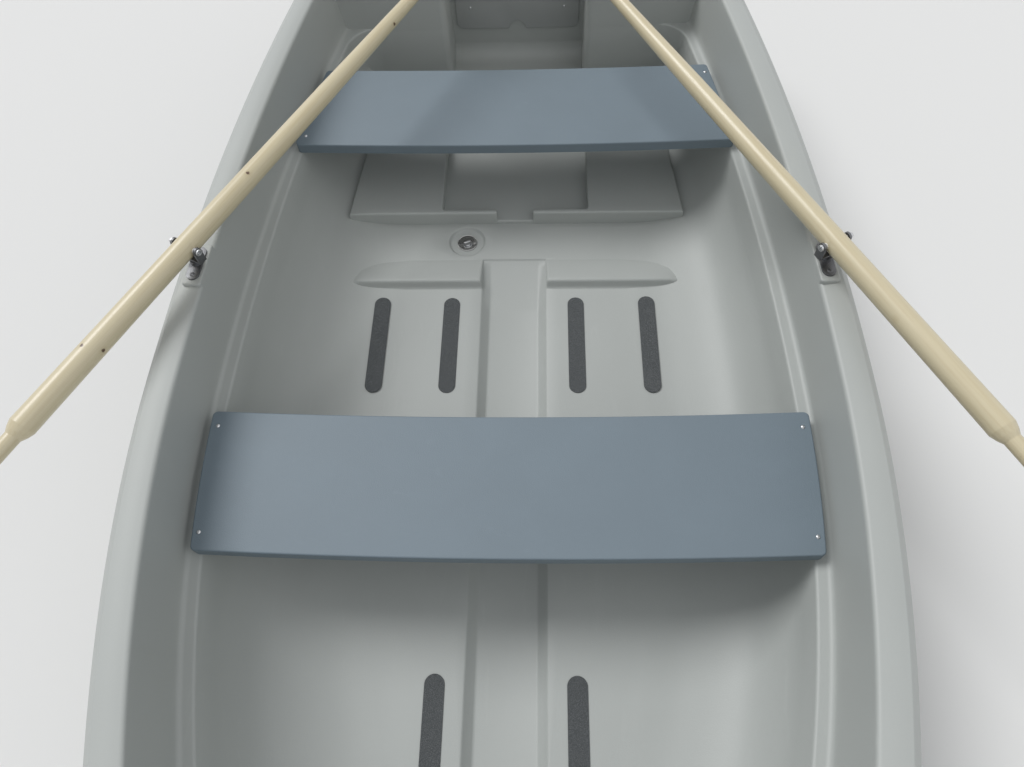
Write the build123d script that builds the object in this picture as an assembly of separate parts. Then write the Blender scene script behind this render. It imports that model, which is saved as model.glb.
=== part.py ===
from build123d import *
import math
import os

os.makedirs("parts", exist_ok=True)

# An open rowing boat afloat, with a pair of pinned oars stowed over its stern.
# Millimetres. +Y points aft, +X to port and +Z up. The origin lies on the
# waterline, on the centre plane. A name that starts with H_ is a height above
# the keel's underside, and one that starts with Y_ is a place along the boat.

# Hull
DRAFT = 80.0                # how deep the keel lies with the boat empty
Y_BOW = -1925.0             # foremost point of the gunwale's top edge
Y_STERN = 1915.0            # aftermost point of the gunwale's top edge
Y_BEAM = 300.0              # station of the greatest beam
HALF_BEAM = 752.0           # gunwale's top edge at that station
HALF_STERN = 565.0          # gunwale's top edge at the stern
BOW_NOSE = 150.0            # radius of the gunwale's nose
BOW_RUN = 0.81              # under 1, the sides run straight before the nose
H_RIM = 550.0               # gunwale's top where the sheer is level
Y_SHEER = -300.0            # forward of here the sheer rises on an arc
SHEER_RADIUS = 12000.0
Y_TRANSOM = 1900.0          # transom's outer face, at its top
RAKE = 4.0                  # degrees that the transom leans aft
KEEL_HALF = 16.0
KEEL_TOP = 60.0
Y_KEEL = -900.0             # where the keel starts to rise into the stem
KEEL_RISE = 240.0

# Gunwale cap and rubbing strake
CAP_DEPTH = 40.0
CAP_LIP = 12.0              # the cap's top edge beyond the topside
CAP_FLARE = 20.0            # the cap's face slopes out this far below its top edge
STRAKE_DEPTH = 16.0
STRAKE_INSET = 5.0          # the strake's face inside the cap's widest line
GLUE = 0.5                  # glue line between the hull shell and its liner

# Inner pan
PAN_RUN = 0.92
RIM_WIDTH = 55.0            # gunwale's width at the greatest beam
Y_PAN_BOW = -1600.0
Y_PAN_STERN = 1848.0        # inner face of the transom
H_LEDGE = H_RIM - 190.0     # ledge that carries the thwarts
LEDGE_WIDTH = 34.0
H_SOLE = 128.0
SOLE_HALF = 335.0
PAN_WALL = 14.0             # liner's thickness at the transom
GUTTER_TOP = 187.0
GUTTER_BOTTOM = 145.0
GUTTER_DEPTH = 30.0
Y_GUTTER_AFT = 945.0
Y_GUTTER_FORE = -820.0
REST_HEIGHT = 22.0          # heel rest across the sole
REST_HALF = 495.0
REST_END_SLOPE = 25.0
REST_ROUND = 5.0
Y_REST_FOOT = 843.0
Y_REST_CREST = 855.0
PLATFORM_HEIGHT = 50.0      # raised floor at the stern
PLATFORM_ROUND = 9.0
Y_PLATFORM = 1083.0
WELL_HALF = 220.0           # well between the quarter blocks
WELL_DEPTH = 38.0
WELL_LIP = 16.0
NOTCH_HALF = 54.0
Y_BLOCK = 1695.0            # front face of the quarter blocks
H_BLOCK = H_RIM - 45.0
BLOCK_ROUND = 22.0
QUARTER_COVE = 90.0         # hollow corner between the ledge's edge and each block
CROSS = 1.0                 # a hollow corner cuts this far past its tangents

# Thwarts. Each long edge is an arc bowed towards the bow.
THWART_THICK = 30.0
THWART_BOW = 18.0
THWART_CORNER = 12.0
THWART_EDGE = 4.0
THWART_GAP = 18.0           # between a thwart's end and the wall
THWARTS = [
    # name, y of the aft edge, y of the fore edge
    ("mid", 318.0, -8.0),
    ("aft", 1474.0, 1162.0),
    ("fore", -740.0, -1010.0),
]

# Grip pads on the sole
GRIP_WIDTH = 46.0
GRIP_LENGTH = 310.0
GRIP_THICK = 2.0
GRIP_INNER = 178.0
GRIP_OUTER = 379.0
GRIP_FORE = 160.0
Y_GRIP_MID = 807.0          # aft ends of the pads in the rower's bay
Y_GRIP_FORE = -217.0

# Drain in the sump
DRAIN_X = -145.0
Y_DRAIN = 1016.0
DRAIN_R = 55.0
DRAIN_DEPTH = 9.0
FITTING_R = 30.0
FITTING_HEIGHT = 5.0
PLUG_R = 19.0
PLUG_HEIGHT = 9.0
PLUG_BAR_HEIGHT = 7.0
PLUG_BAR_WIDTH = 5.0
PLUG_BAR_INSET = 4.0        # the bar's ends inside the plug's edge

# Plates where a motor clamps on, and the eyes
PLATE_WIDTH = 410.0
PLATE_HEIGHT = 233.0
PLATE_DROP = 70.0           # top edge below the gunwale's top
PLATE_THICK = 8.0
PLATE_CORNER = 24.0
PLATE_NOTCH = 28.0
OUTER_PLATE_WIDTH = 300.0
OUTER_PLATE_HEIGHT = 220.0
OUTER_PLATE_DROP = 30.0     # top edge below the cap, along the transom
EYE_THICK = 8.0
EYE_R = 15.0
EYE_BORE_R = 8.0
EYE_FOOT = 5.0
EYE_FOOT_R = 22.0
EYE_REACH = 24.0
EYE_SINK = 40.0
STERN_EYE_INSET = 165.0
STERN_EYE_DROP = 70.0
BOW_EYE_BACK = 105.0        # from the gunwale's foremost point
H_BOW_EYE = 360.0

# Rowlocks
LOCK_INSET = 40.0           # swivel's axis inside the gunwale's edge
Y_LOCK = 608.0
LOCK_HEIGHT = 70.0          # oar bolt above the gunwale's top
PAD_LENGTH = 116.0          # moulded pad under the rowlock
PAD_WIDTH = 44.0
PAD_HEIGHT = 8.0
PAD_ROOT = 9.0              # how deep the pad reaches into the cap
BASE_LENGTH = 92.0
BASE_WIDTH = 30.0
BASE_THICK = 4.0
BASE_ANGLE = 3.0            # degrees, along the gunwale there
SOCKET_R = 11.0
SOCKET_TOP = 14.0           # socket's top above the pad
SOCKET_DEPTH = 34.0         # hole in the pad
SOCKET_FLOOR = 2.0          # left open below the socket
PIN_R = 6.0
PIN_LENGTH = 40.0
COLLAR_R = 10.0
COLLAR = 5.0
FORK_THICK = 5.0
FORK_WIDTH = 20.0
FORK_CLEAR = 5.0            # between the fork and the loom
BOLT_R = 4.0
BOLT_HEAD_R = 7.5
BOLT_HEAD = 5.0
DOME_R = 6.0                # dome of the nut
BUSH_R = 7.0
BUSH_PROUD = 2.0
RUN = 0.05                  # running clearance, radial

# Oars, straight and level, with the bolt at zero and the blade at the far end
TIP_INSET = 37.8            # stowed blade's tip, from the centre plane
LOCK_LOOM_R = 25.0
LOOM = [
    # distance from the bolt, radius
    (-655.0, 10.0),
    (-649.0, 16.5),
    (-520.0, 16.5),
    (-509.0, 22.0),
    (-495.0, 26.5),
    (0.0, LOCK_LOOM_R),
    (550.0, 22.0),
    (750.0, 19.5),
    (960.0, 17.0),
    (1330.0, 3.0),
]
BLADE_START = 970.0
BLADE_SHOULDER = 300.0      # from the start to the full width
SHOULDER_ALONG = 0.45       # the shoulder's arc passes here, as a share of its length
SHOULDER_OUT = 0.68         # and here, as a share of the blade's half width
BLADE_END = 1485.0
BLADE_TIP = 40.0            # how far the tip's arc reaches
BLADE_HALF = 60.0
BLADE_THICK = 9.0
SCARF = 60.0                # length of the slanting glue joint

FAR = 3000.0                # reach of cutting blocks, past the whole boat
OVER = 400.0                # how far upright prisms overshoot the gunwale


def up(height):
    """A height above the keel's underside, as a z of this frame."""
    return height - DRAFT


RIM_Z = up(H_RIM)
LOCK = Vector(HALF_BEAM - LOCK_INSET, Y_LOCK, RIM_Z + LOCK_HEIGHT)

# Plan outlines. Each has a height, a half beam, a half width at the stern, the y of
# its stern edge, the y of its nose, the nose's radius, and whether the surface
# to the next outline is round or straight.
Y_PAST = Y_STERN + 40.0     # the outer skin runs past the transom and is cut there
HULL = [
    (22.0, 0.040 * HALF_BEAM, 0.046 * HALF_STERN, Y_PAST, Y_BOW + 745, 24.0, "round"),
    (52.0, 0.532 * HALF_BEAM, 0.560 * HALF_STERN, Y_PAST, Y_BOW + 495, 50.0, "round"),
    (82.0, 0.725 * HALF_BEAM, 0.750 * HALF_STERN, Y_PAST, Y_BOW + 365, 62.0, "round"),
    (130.0, 0.851 * HALF_BEAM, 0.865 * HALF_STERN, Y_PAST, Y_BOW + 245, 76.0, "round"),
    (220.0, 0.920 * HALF_BEAM, 0.935 * HALF_STERN, Y_PAST, Y_BOW + 158, 96.0, "straight"),
    (H_RIM - 200, 0.960 * HALF_BEAM, 0.968 * HALF_STERN, Y_PAST, Y_BOW + 79, 118.0, "straight"),
    (H_RIM + 10, HALF_BEAM - CAP_LIP, HALF_STERN - CAP_LIP, Y_PAST, Y_BOW + 17, 138.0, "straight"),
    (H_RIM + 210, HALF_BEAM, HALF_STERN, Y_PAST, Y_BOW - 35, BOW_NOSE, "straight"),
]
Y_BACK = Y_PAN_STERN + PAN_WALL
Y_MID_TRANSOM = Y_PAN_STERN + PAN_WALL / 2
BACK = [
    (80.0, SOLE_HALF + 95, 0.770 * SOLE_HALF + 72, Y_BACK, Y_PAN_BOW + 450, 60.0, "round"),
    (150.0, HALF_BEAM - 157, HALF_STERN - 117, Y_BACK, Y_PAN_BOW + 230, 110.0, "round"),
    (240.0, HALF_BEAM - 90, HALF_STERN - 67, Y_BACK, Y_PAN_BOW + 90, 150.0, "straight"),
    (H_RIM - 200, HALF_BEAM - 46, HALF_STERN - 34, Y_BACK, Y_PAN_BOW + 40, 190.0, "straight"),
    (H_RIM + 10, HALF_BEAM - 38, HALF_STERN - 20, Y_BACK, Y_PAN_BOW - 20, 210.0, "straight"),
    (H_RIM + 210, HALF_BEAM - 34, HALF_STERN - 16, Y_BACK, Y_PAN_BOW - 30, 220.0, "straight"),
]
WALL_HALF = HALF_BEAM - RIM_WIDTH - 1.0
BILGE = [
    (H_SOLE, SOLE_HALF, 0.750 * SOLE_HALF, Y_PAN_STERN, Y_PAN_BOW + 600, 50.0, "round"),
    (H_SOLE + 8, SOLE_HALF + 120, 0.750 * SOLE_HALF + 90, Y_PAN_STERN, Y_PAN_BOW + 440, 70.0, "round"),
    (H_SOLE + 47, WALL_HALF - 118, HALF_STERN - 135, Y_PAN_STERN, Y_PAN_BOW + 290, 100.0, "round"),
    (H_SOLE + 127, WALL_HALF - 56, HALF_STERN - 93, Y_PAN_STERN, Y_PAN_BOW + 180, 130.0, "round"),
    (H_LEDGE + 4, WALL_HALF - LEDGE_WIDTH, HALF_STERN - 82, Y_PAN_STERN, Y_PAN_BOW + 110, 150.0, "round"),
]
WALL = [
    (H_LEDGE, WALL_HALF, HALF_STERN - 54, Y_PAN_STERN, Y_PAN_BOW + 70, 180.0, "straight"),
    (H_RIM, HALF_BEAM - RIM_WIDTH, HALF_STERN - 33, Y_PAN_STERN, Y_PAN_BOW, 200.0, "straight"),
    (H_RIM + 210, HALF_BEAM - RIM_WIDTH, HALF_STERN - 33, Y_PAN_STERN, Y_PAN_BOW, 200.0, "straight"),
]
RIM = (H_RIM, HALF_BEAM, HALF_STERN, Y_STERN, Y_BOW, BOW_NOSE, "straight")


def stern_radius(half, half_aft, length):
    """Radius of the arc from the greatest beam to the stern."""
    return (length ** 2 + (half - half_aft) ** 2) / (2 * (half - half_aft))


def outline(row, run, grow=0.0, z=None):
    """Closed plan outline: stern line, arc to the greatest beam, arc, straight run, nose arc."""
    height, half, half_aft, y_aft, y_fore, nose, _ = row
    half, half_aft, nose = half + grow, half_aft + grow, nose + grow
    y_aft, y_fore = y_aft + grow, y_fore - grow
    z = up(height) - grow if z is None else z
    length = y_aft - Y_BEAM
    r_aft = stern_radius(half, half_aft, length)
    turn_aft = math.asin(length / r_aft)
    lead = Y_BEAM - y_fore - nose
    r_fore = run * (half ** 2 + lead ** 2 - nose ** 2) / (2 * (half - nose))
    centre = half - r_fore
    turn_fore = math.atan2(lead, -centre) - math.acos((r_fore - nose) / math.hypot(centre, lead))

    def aft(turn, side):
        return Vector(side * (half - r_aft + r_aft * math.cos(turn)), Y_BEAM + r_aft * math.sin(turn), z)

    def fore(turn, side):
        return Vector(side * (centre + r_fore * math.cos(turn)), Y_BEAM - r_fore * math.sin(turn), z)

    def bow(side):
        return Vector(side * nose * math.cos(turn_fore), y_fore + nose - nose * math.sin(turn_fore), z)

    def half_edges(side):
        return [
            Edge.make_three_point_arc(aft(turn_aft, side), aft(turn_aft / 2, side), aft(0, side)),
            Edge.make_three_point_arc(fore(0, side), fore(turn_fore / 2, side), fore(turn_fore, side)),
            Edge.make_line(fore(turn_fore, side), bow(side)),
        ]

    stern = Edge.make_line(aft(turn_aft, -1), aft(turn_aft, 1))
    tip = Edge.make_three_point_arc(bow(1), Vector(0, y_fore, z), bow(-1))
    return Wire([stern, *half_edges(1), tip, *reversed(half_edges(-1))])


def stack(rows, run, grow=0.0):
    """Solid through plan outlines: one smooth surface for the round rows, plane-sided above."""
    wires = [outline(row, run, grow) for row in rows]
    kinds = [row[-1] for row in rows]
    turn = kinds.index("straight") if "straight" in kinds else len(rows) - 1
    parts = []
    if turn > 0:
        parts.append(Solid.make_loft(wires[:turn + 1], False))
    if turn < len(rows) - 1:
        parts.append(Solid.make_loft(wires[turn:], True))
    return parts[0] if len(parts) == 1 else parts[0] + parts[1]


def prism(row, run, grow, low, high):
    """Upright prism on one plan outline, between two z."""
    return Solid.extrude(Face(outline(row, run, grow, low)), Vector(0, 0, high - low))


def below_sheer(drop):
    """Everything lower than the gunwale's top by drop."""
    z = RIM_Z - drop
    whole_turn = math.asin((FAR + Y_SHEER) / SHEER_RADIUS)

    def sheer(turn):
        return Vector(0, Y_SHEER - SHEER_RADIUS * math.sin(turn), z + SHEER_RADIUS * (1 - math.cos(turn)))

    end = sheer(whole_turn)
    side = Face(Wire([
        Edge.make_line(Vector(0, FAR, z), sheer(0)),
        Edge.make_three_point_arc(sheer(0), sheer(whole_turn / 2), end),
        Edge.make_line(end, Vector(0, -FAR, -FAR)),
        Edge.make_line(Vector(0, -FAR, -FAR), Vector(0, FAR, -FAR)),
        Edge.make_line(Vector(0, FAR, -FAR), Vector(0, FAR, z)),
    ]))
    return Pos(-FAR / 2, 0, 0) * Solid.extrude(side, Vector(FAR, 0, 0))


def block(x, y, z):
    """Box between two values on each axis."""
    size = [b - a for a, b in (x, y, z)]
    return Pos(*[(a + b) / 2 for a, b in (x, y, z)]) * Box(*size)


def both(solid):
    """A port piece and its mirror image to starboard."""
    return [solid, solid.mirror(Plane.YZ)]


def standing(radius, height):
    """Cylinder on the plane z = 0."""
    return Cylinder(radius, height, align=(Align.CENTER, Align.CENTER, Align.MIN))


def slot(length, width, height):
    """Bar with round ends, long along Y, on the plane z = 0."""
    return extrude(Rot(0, 0, 90) * SlotOverall(length, width), height)


def save(name, *solids):
    """Write one node."""
    export_step(solids[0] if len(solids) == 1 else Compound(children=list(solids)), f"parts/{name}.step")


def save_pair(name, port, starboard):
    save(f"{name}_port", port)
    save(f"{name}_starboard", starboard)


# Hull shell
transom_place = Pos(0, Y_TRANSOM, up(H_RIM - CAP_DEPTH)) * Rot(-RAKE, 0, 0)
ahead_of_transom = transom_place * block((-FAR, FAR), (-2 * FAR, 0), (-FAR, FAR))
skin = (stack(HULL, BOW_RUN) & below_sheer(CAP_DEPTH)) & ahead_of_transom


def make_keel():
    """Shallow keel, rising into the stem at its fore end."""
    side = make_face(Polyline([
        (0, Y_KEEL, up(0)), (0, Y_PAST, up(0)), (0, Y_PAST, up(KEEL_TOP)),
        (0, Y_KEEL - KEEL_RISE, up(KEEL_TOP))], close=True))
    fin = Pos(-KEEL_HALF, 0, 0) * extrude(side, 2 * KEEL_HALF, dir=(1, 0, 0))
    return fin & ahead_of_transom


hull_shell = (skin + make_keel()) - stack(BACK, PAN_RUN, GLUE)


# Liner: gunwale cap, walls, ledge and floor
def make_cap():
    """Gunwale cap and foredeck, as a lid whose outer face slopes out below its top edge."""
    lid = prism(RIM, BOW_RUN, CAP_FLARE, RIM_Z - OVER, RIM_Z + OVER) & below_sheer(0)
    lid = lid - below_sheer(CAP_DEPTH)
    top = lid.faces().filter_by(lambda f: f.normal_at().Z > 0.5)
    rims = [e for f in top for e in f.edges() if sum(e.is_same(o) for g in top for o in g.edges()) == 1]
    return chamfer(rims, CAP_FLARE)


def make_heel_rest():
    """Ridge across the sole, steep towards the bow, in two halves beside the gutter."""
    low = up(H_SOLE) - GUTTER_DEPTH
    side = make_face(Polyline([
        (0, Y_REST_FOOT, low), (0, Y_REST_FOOT, up(H_SOLE)), (0, Y_REST_CREST, up(H_SOLE + REST_HEIGHT)),
        (0, Y_GUTTER_AFT, up(H_SOLE)), (0, Y_GUTTER_AFT, low)], close=True))
    ridge = Pos(GUTTER_TOP / 2, 0, 0) * extrude(side, REST_HALF - GUTTER_TOP / 2, dir=(1, 0, 0))
    crest = ridge.edges().filter_by(Axis.X).sort_by(Axis.Z)[-1]
    ridge = fillet(crest, REST_ROUND)
    end = Pos(REST_HALF, 0, up(H_SOLE)) * Rot(0, -REST_END_SLOPE, 0)
    return both(ridge - end * block((0, FAR), (0, FAR), (-FAR, FAR)))


def make_platform():
    """Raised floor at the stern, with the well and its drain notch cut out."""
    top = up(H_SOLE + PLATFORM_HEIGHT)
    y_lip = Y_PLATFORM + WELL_LIP
    hollow = (top - WELL_DEPTH, RIM_Z)
    floor = block((-FAR, FAR), (Y_PLATFORM, Y_MID_TRANSOM), (up(H_SOLE) - GUTTER_DEPTH, top))
    floor = fillet(floor.edges().filter_by(Axis.X).group_by(Axis.Z)[-1].sort_by(Axis.Y)[0], PLATFORM_ROUND)
    well = block((-WELL_HALF, WELL_HALF), (y_lip, Y_PAN_STERN), hollow)
    well = fillet(well.edges().filter_by(Axis.Z).group_by(Axis.Y)[0], PLATFORM_ROUND)
    notch = block((-NOTCH_HALF, NOTCH_HALF), (Y_PLATFORM - 1, y_lip + 1), hollow)
    return floor - well - notch


def make_quarters():
    """Blocks in the after corners, each with a hollow corner up to the ledge before it."""
    quarter = block((WELL_HALF, FAR), (Y_BLOCK, Y_MID_TRANSOM), (up(H_SOLE), up(H_BLOCK)))
    quarter = fillet(quarter.edges().filter_by(Axis.Z).group_by(Axis.X)[0].sort_by(Axis.Y)[0], BLOCK_ROUND)
    top = quarter.edges().group_by(Axis.Z)[-1].filter_by(lambda e: e.center().Y < Y_PAN_STERN - BLOCK_ROUND)
    quarter = fillet(top.filter_by(lambda e: e.center().X < FAR - 1), PLATFORM_ROUND)
    _, half, half_aft, y_aft, *_ = BILGE[-1]
    edge = stern_radius(half, half_aft, y_aft - Y_BEAM)
    y = Y_BLOCK - QUARTER_COVE + CROSS
    x = half - edge + math.sqrt((edge - QUARTER_COVE + CROSS) ** 2 - (y - Y_BEAM) ** 2)
    corner = block((x, FAR), (y, Y_BLOCK + CROSS), (up(H_SOLE), up(H_LEDGE)))
    corner = corner - Pos(x, y, -FAR) * standing(QUARTER_COVE, 2 * FAR)
    return both(quarter + corner)


def make_gutter():
    """Channel along the centre of the sole, with sloping sides."""
    half_top, half_low = GUTTER_TOP / 2, GUTTER_BOTTOM / 2
    section = make_face(Polyline([
        (-half_top, 0, up(H_SOLE)), (half_top, 0, up(H_SOLE)),
        (half_low, 0, up(H_SOLE) - GUTTER_DEPTH), (-half_low, 0, up(H_SOLE) - GUTTER_DEPTH)], close=True))
    return Pos(0, Y_GUTTER_FORE, 0) * extrude(section, Y_GUTTER_AFT - Y_GUTTER_FORE, dir=(0, 1, 0))


def make_liner():
    back = stack(BACK, PAN_RUN)
    pan = (back & below_sheer(CAP_DEPTH / 2)) + make_cap()
    pan = pan - stack(WALL, PAN_RUN) - stack(BILGE, PAN_RUN)
    for form in [make_platform(), *make_quarters(), *make_heel_rest()]:
        pan = pan + (form & back)
    pan = pan - make_gutter() - drain_place * standing(DRAIN_R, DRAIN_DEPTH + 1)
    pad_place = Pos(LOCK.X, LOCK.Y, RIM_Z - PAD_ROOT) * Rot(0, 0, BASE_ANGLE)
    pad = pad_place * slot(PAD_LENGTH, PAD_WIDTH, PAD_ROOT + PAD_HEIGHT)
    pad = fillet(pad.edges().group_by(Axis.Z)[-1], PAD_HEIGHT / 2)
    hole = Pos(LOCK.X, LOCK.Y, RIM_Z + PAD_HEIGHT - SOCKET_DEPTH) * standing(SOCKET_R, 2 * SOCKET_DEPTH)
    for side in both(pad):
        pan = pan + side
    for side in both(hole):
        pan = pan - side
    return pan


drain_place = Pos(DRAIN_X, Y_DRAIN, up(H_SOLE) - DRAIN_DEPTH)
liner = make_liner()
save("hull_shell", hull_shell)
save("liner", liner)

# Rubbing strake under the cap, in three lengths
strake = prism(RIM, BOW_RUN, CAP_FLARE - STRAKE_INSET, RIM_Z - OVER, RIM_Z + OVER)
strake = strake & (below_sheer(CAP_DEPTH) - below_sheer(CAP_DEPTH + STRAKE_DEPTH)) - skin
side_part = block((0, FAR), (-FAR, Y_TRANSOM), (-FAR, FAR))
save_pair("rub_rail", *[strake & half for half in both(side_part)])
save("rub_rail_stern", strake & block((-FAR, FAR), (Y_TRANSOM, FAR), (-FAR, FAR)))


# Thwarts
def make_thwart(y_aft, y_fore):
    """Board between two bowed edges, cut to the pan's walls and resting on the ledge."""
    z = up(H_LEDGE)
    board = prism(WALL[0], PAN_RUN, -THWART_GAP, z, z + THWART_THICK)

    def bowed(y):
        ends = [Vector(x, y, z) for x in (-HALF_BEAM, HALF_BEAM)]
        return Edge.make_three_point_arc(ends[0], Vector(0, y - THWART_BOW, z), ends[1])

    ends = [Edge.make_line(Vector(x, y_aft, z), Vector(x, y_fore, z)) for x in (-HALF_BEAM, HALF_BEAM)]
    strip = make_face(Wire([bowed(y_aft), bowed(y_fore), *ends]))
    board = board & extrude(strip, THWART_THICK, dir=(0, 0, 1))
    board = fillet(board.edges().filter_by(Axis.Z), THWART_CORNER)
    return fillet(board.faces().sort_by(Axis.Z)[-1].edges(), THWART_EDGE)


for name, y_aft, y_fore in THWARTS:
    save(f"thwart_{name}", make_thwart(y_aft, y_fore))


# Grip pads
def make_grip(x, y_aft):
    """One pad, laid on the sole or on the slope outside its flat."""
    down = Axis((x, y_aft - GRIP_LENGTH / 2, up(H_LEDGE)), (0, 0, -1))
    spot, normal = liner.find_intersection_points(down)[0]
    lean = math.degrees(math.atan2(normal.X, normal.Z))
    place = Pos(spot.X, spot.Y, spot.Z) * Rot(0, lean, 0)
    return (place * Pos(0, 0, -GRIP_THICK) * slot(GRIP_LENGTH, GRIP_WIDTH, 2 * GRIP_THICK)) - liner


mid_pads = both(make_grip(GRIP_INNER, Y_GRIP_MID)) + both(make_grip(GRIP_OUTER, Y_GRIP_MID))
save("grip_pads_mid_bay", *[pad.solids()[0] for pad in mid_pads])
save("grip_pads_fore_bay", *[pad.solids()[0] for pad in both(make_grip(GRIP_FORE, Y_GRIP_FORE))])

# Drain fitting and its plug
bar_half = PLUG_R - PLUG_BAR_INSET
bar = block((-bar_half, bar_half), (-PLUG_BAR_WIDTH / 2, PLUG_BAR_WIDTH / 2), (0, PLUG_BAR_HEIGHT))
plug = standing(PLUG_R, PLUG_HEIGHT) + Pos(0, 0, PLUG_HEIGHT) * bar
save("drain_fitting", drain_place * (standing(FITTING_R, FITTING_HEIGHT) - standing(PLUG_R, FITTING_HEIGHT)))
save("drain_plug", drain_place * plug)


# Plates where a motor clamps on
def make_plate(width, height):
    """Upright plate with round corners, its top edge at z = 0 and its back at y = 0."""
    plate = Pos(0, PLATE_THICK / 2, -height / 2) * Box(width, PLATE_THICK, height)
    return fillet(plate.edges().filter_by(Axis.Y), PLATE_CORNER)


notch_cut = Pos(0, 0, -PLATE_HEIGHT) * Rot(90, 0, 0) * Cylinder(PLATE_NOTCH, 4 * PLATE_THICK)
inner_plate = make_plate(PLATE_WIDTH, PLATE_HEIGHT) - notch_cut
save("transom_plate_inner", Pos(0, Y_PAN_STERN - PLATE_THICK, RIM_Z - PLATE_DROP) * inner_plate)
outer_plate = make_plate(OUTER_PLATE_WIDTH, OUTER_PLATE_HEIGHT)
save("transom_plate_outer", transom_place * Pos(0, 0, -OUTER_PLATE_DROP) * outer_plate)


# Eyes for the painter and for lines astern
def make_eye(reach):
    """Tang with one hole, standing out along +Y from a round foot."""
    foot = Rot(-90, 0, 0) * standing(EYE_FOOT_R, EYE_FOOT)
    tang = Pos(0, reach / 2, 0) * Box(EYE_THICK, reach, 2 * EYE_R)
    tang = tang + Pos(0, reach, 0) * Rot(0, 90, 0) * Cylinder(EYE_R, EYE_THICK)
    return foot + tang - Pos(0, reach, 0) * Rot(0, 90, 0) * Cylinder(EYE_BORE_R, 2 * EYE_THICK)


stern_eye = transom_place * Pos(HALF_STERN - STERN_EYE_INSET, 0, -STERN_EYE_DROP) * make_eye(EYE_REACH)
save_pair("stern_eye", *both(stern_eye))
bow_eye = Pos(0, Y_BOW + BOW_EYE_BACK, up(H_BOW_EYE)) * Rot(0, 0, 180) * make_eye(EYE_REACH + EYE_SINK)
save("bow_eye", bow_eye - skin)


# Rowlocks, with the oar bolt's centre as origin
def make_base():
    """Plate on the pad, with the socket that the fork's pin turns in."""
    plate = slot(BASE_LENGTH, BASE_WIDTH, BASE_THICK)
    low = SOCKET_FLOOR - SOCKET_DEPTH
    socket = Pos(0, 0, low) * standing(SOCKET_R, SOCKET_TOP - low)
    bore = Pos(0, 0, -2 * SOCKET_DEPTH) * standing(PIN_R + RUN, 4 * SOCKET_DEPTH)
    return Pos(0, 0, PAD_HEIGHT - LOCK_HEIGHT) * (plate + socket - bore)


def make_fork():
    """Two ears with the bolt's holes, a bridge below the loom and the pin."""
    gap = LOCK_LOOM_R + FORK_CLEAR
    outer = gap + FORK_THICK
    ears = block((-outer, outer), (-FORK_WIDTH / 2, FORK_WIDTH / 2), (-outer, 0))
    ears = ears + Rot(0, 90, 0) * Cylinder(FORK_WIDTH / 2, 2 * outer)
    hollow = block((-gap, gap), (-FORK_WIDTH, FORK_WIDTH), (-gap, 2 * gap))
    ears = ears - hollow - Rot(0, 90, 0) * Cylinder(BOLT_R, 4 * outer)
    pin = Pos(0, 0, -outer - PIN_LENGTH) * standing(PIN_R, PIN_LENGTH)
    collar = Pos(0, 0, -outer - COLLAR) * standing(COLLAR_R, COLLAR)
    return ears + pin + collar


def make_bolt():
    """Bolt across the fork, with its head inboard and a domed nut outboard."""
    outer = LOCK_LOOM_R + FORK_CLEAR + FORK_THICK
    shank = Rot(0, 90, 0) * Cylinder(BOLT_R, 2 * outer + 2 * BOLT_HEAD)
    head = Pos(-outer, 0, 0) * Rot(0, -90, 0) * standing(BOLT_HEAD_R, BOLT_HEAD)
    nut = Pos(outer, 0, 0) * Rot(0, 90, 0) * extrude(RegularPolygon(BOLT_HEAD_R, 6), BOLT_HEAD)
    dome = Pos(outer + BOLT_HEAD, 0, 0) * Sphere(DOME_R)
    dome = dome & block((outer, FAR), (-FAR, FAR), (-FAR, FAR))
    return shank + head + nut + dome


def make_oar():
    """Loom and blade as one form along +Y, parted by the slanting glue joint."""
    rounds = [(0, LOOM[0][0]), *[(radius, y) for y, radius in LOOM], (0, LOOM[-1][0])]
    shaft = revolve(make_face(Polyline(rounds, close=True)), Axis.Y)
    neck = BLADE_START + BLADE_SHOULDER
    end = BLADE_END - BLADE_TIP
    thin = LOOM[-1][1]

    def point(y, z):
        return Vector(0, y, z)

    def long_edges(side):
        start = point(BLADE_START, side * thin)
        middle = point(BLADE_START + SHOULDER_ALONG * BLADE_SHOULDER, side * SHOULDER_OUT * BLADE_HALF)
        wide = point(neck, side * BLADE_HALF)
        tip = point(end, side * BLADE_HALF)
        return [Edge.make_three_point_arc(start, middle, wide), Edge.make_line(wide, tip)]

    plan = make_face(Wire([
        Edge.make_line(point(BLADE_START, -thin), point(BLADE_START, thin)),
        *long_edges(-1),
        *long_edges(1),
        Edge.make_three_point_arc(point(end, -BLADE_HALF), point(BLADE_END, 0), point(end, BLADE_HALF)),
    ]))
    blade = Pos(-BLADE_THICK / 2, 0, 0) * extrude(plan, BLADE_THICK, dir=(1, 0, 0))
    whole = shaft + blade - Rot(0, 90, 0) * Cylinder(BUSH_R, 4 * LOCK_LOOM_R)
    lean = math.degrees(math.atan2(SCARF, 2 * LOOM[-2][1]))
    beyond = block((-2 * FAR, 2 * FAR), (0, 2 * FAR), (-FAR, FAR))
    cut = Pos(0, BLADE_START - SCARF / 2, 0) * Rot(0, 0, lean) * beyond
    return whole - cut, whole & cut


def make_bush():
    """Nylon tube through the loom, on which the oar tilts."""
    length = 2 * (LOCK_LOOM_R + BUSH_PROUD)
    return Rot(0, 90, 0) * (Cylinder(BUSH_R, length) - Cylinder(BOLT_R + RUN, length))


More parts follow.
